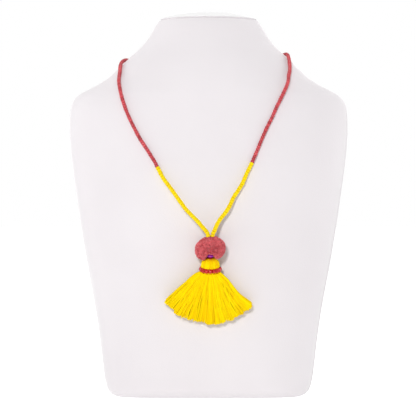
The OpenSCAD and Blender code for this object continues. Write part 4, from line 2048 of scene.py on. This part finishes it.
@dataclass
class Stage:
    """A pale floor, soft light and the photograph's viewpoint, in metres."""

    camera_at: tuple[float, float, float] = (-0.0004, -1.4, 0.1475)
    lens: float = 151.44
    sensor: float = 36.0
    clip: tuple[float, float] = (0.05, 60.0)
    # how strongly the white surround lights the object
    surround: float = 0.32
    floor_half: float = 12.0
    floor_z: float = -0.00005
    floor_tone: Colour = (0.45, 0.45, 0.45)
    # the floor's own light, and what the camera sees of it on top
    floor_glow: float = 0.62
    floor_white: float = 0.40
    lamps: tuple[Lamp, ...] = (
        Lamp("key_light", (-0.19, -1.41, 0.50), (0.0, -0.05, 0.15), 0.16, 10.3),
        Lamp("top_light", (0.0, 0.25, 1.35), (0.0, 0.0, 0.2), 0.9, 6.2),
        Lamp("left_rim_light", (-1.27, 0.40, 0.52), (0.0, 0.0, 0.18), 0.9, 6.4),
        Lamp("right_rim_light", (1.27, 0.38, 0.52), (0.0, 0.0, 0.18), 0.9, 7.0))

    def _world(self) -> None:
        """A white surround, and a softer one as light."""
        world = bpy.data.worlds.new("white_surround")
        world.use_nodes = True
        bpy.context.scene.world = world
        tree = Tree(world.node_tree)
        world.node_tree.nodes.clear()
        seen, light = (tree.out("ShaderNodeBackground", "Background",
                                {"Color": (1, 1, 1, 1), "Strength": strength})
                       for strength in (1.0, self.surround))
        mix = tree.add("ShaderNodeMixShader")
        for socket, value in zip(mix.inputs, (tree.out("ShaderNodeLightPath", "Is Camera Ray"), light, seen)):
            tree.feed(socket, value)
        tree.add("ShaderNodeOutputWorld", {"Surface": mix.outputs[0]})

    def _floor(self) -> None:
        """The floor, which fades into the surround."""
        half = self.floor_half
        corners = ((-1, -1), (1, -1), (1, 1), (-1, 1))
        points = [Vector((x * half, y * half, self.floor_z)) / MM for x, y in corners]
        blank = Finish("pale_floor", self.floor_tone, self.floor_tone, roughness=0.7, specular=0.2).start()
        blank.feed("Base Color", (*self.floor_tone, 1.0))
        blank.feed("Emission Color", (1, 1, 1, 1))
        seen = blank.tree.out("ShaderNodeLightPath", "Is Camera Ray")
        white = blank.tree.math("MULTIPLY", seen, self.floor_white)
        blank.feed("Emission Strength", blank.tree.math("ADD", self.floor_glow, white))
        mesh_object("floor", points, [[0, 1, 2, 3]], blank.material, smooth=False)

    def _camera(self) -> None:
        """The camera, straight in front of the bust."""
        camera = bpy.data.cameras.new("camera")
        camera.lens, camera.sensor_width = self.lens, self.sensor
        camera.clip_start, camera.clip_end = self.clip
        holder = put("camera", camera)
        holder.location = self.camera_at
        holder.rotation_euler = (math.pi / 2, 0, 0)
        bpy.context.scene.camera = holder
        bpy.context.scene.view_settings.view_transform = "Standard"

    def build(self) -> None:
        """Build the camera, the surround, the floor and the lights."""
        self._camera()
        self._world()
        self._floor()
        for lamp in self.lamps:
            lamp.build()


FINISHES = (
    Cover("matt_white_cover", (0.768, 0.733, 0.752), (0.741, 0.705, 0.724),
          roughness=0.62, sheen=0.6, sheen_roughness=0.4, specular=0.35),
    Glass("red_bead_glass", (0.70, 0.078, 0.094), (0.38, 0.026, 0.036),
          roughness=0.32, coat=0.2, coat_roughness=0.2, specular=0.4),
    # the ring's beads are the strands' red beads; this darker copy of their glass is painted shade for the
    # beads pressed close round the tassel's waist
    Glass("scarlet_bead_glass", (0.58, 0.008, 0.008), (0.44, 0.004, 0.005),
          roughness=0.25, coat=0.35, coat_roughness=0.12, specular=0.4),
    Glass("yellow_bead_glass", (0.94, 0.74, 0.003), (0.90, 0.63, 0.002),
          roughness=0.38, coat=0.1, coat_roughness=0.25, specular=0.2, specular_tint=(1.0, 0.9, 0.3)),
    Glass("purple_bead_glass", (0.60, 0.035, 0.80), (0.46, 0.02, 0.64),
          roughness=0.12, coat=0.6, coat_roughness=0.06),
    Glass("garnet_bead_glass", (0.46, 0.006, 0.012), (0.34, 0.003, 0.006),
          roughness=0.12, coat=0.6, coat_roughness=0.06),
    Yarn("rose_pompom_yarn", (0.90, 0.19, 0.21), (0.38, 0.003, 0.008), roughness=0.9, tone_share=0.85,
         sheen=1.0, sheen_roughness=0.42, sheen_tint=(1.0, 0.74, 0.79), specular=0.15,
         relief_mm=0.08, twisted=False),
    Yarn("yellow_tassel_yarn", (1.0, 0.83, 0.002), (0.90, 0.56, 0.001), roughness=0.85, tone_share=0.75,
         sheen=0.25, sheen_roughness=0.5, sheen_tint=(1.0, 0.85, 0.1), specular=0.12,
         specular_tint=(1.0, 0.85, 0.1)),
    Yarn("yellow_thread", (0.95, 0.72, 0.01), (0.8, 0.52, 0.004), roughness=0.7, plies=3.0, turn_mm=1.6),
    PlatedMetal("plated_clasp_metal", (0.83, 0.82, 0.80), (0.70, 0.69, 0.67), roughness=0.2, metallic=1.0))


def main() -> None:
    """Build and dress every piece in order."""
    logging.basicConfig(level=logging.INFO, format="%(name)s %(message)s", stream=sys.stdout)
    form = BustForm()
    hang = Hang(form)
    loop = Loop(form, hang)
    effects = Effects()
    cover, red, shaded_red, yellow, purple, garnet, rose, sun, thread, metal = (
        finish.build(effects) for finish in FINISHES)
    beads, yarns = bead_string_tree(), yarn_tree()
    Stage().build()
    NeckBust(form).build(cover)
    BarrelClasp(loop).build(metal)
    BeadStrings(loop).build(beads, red, yellow)
    DropCord(hang, loop).build(yarns, thread)
    DropBeads(hang).build(purple, garnet)
    Pompom(hang).build(rose)
    Tassel(hang, form).build(yarns, sun)
    BeadRing(hang).build(beads, shaded_red)


if __name__ == "__main__":
    main()
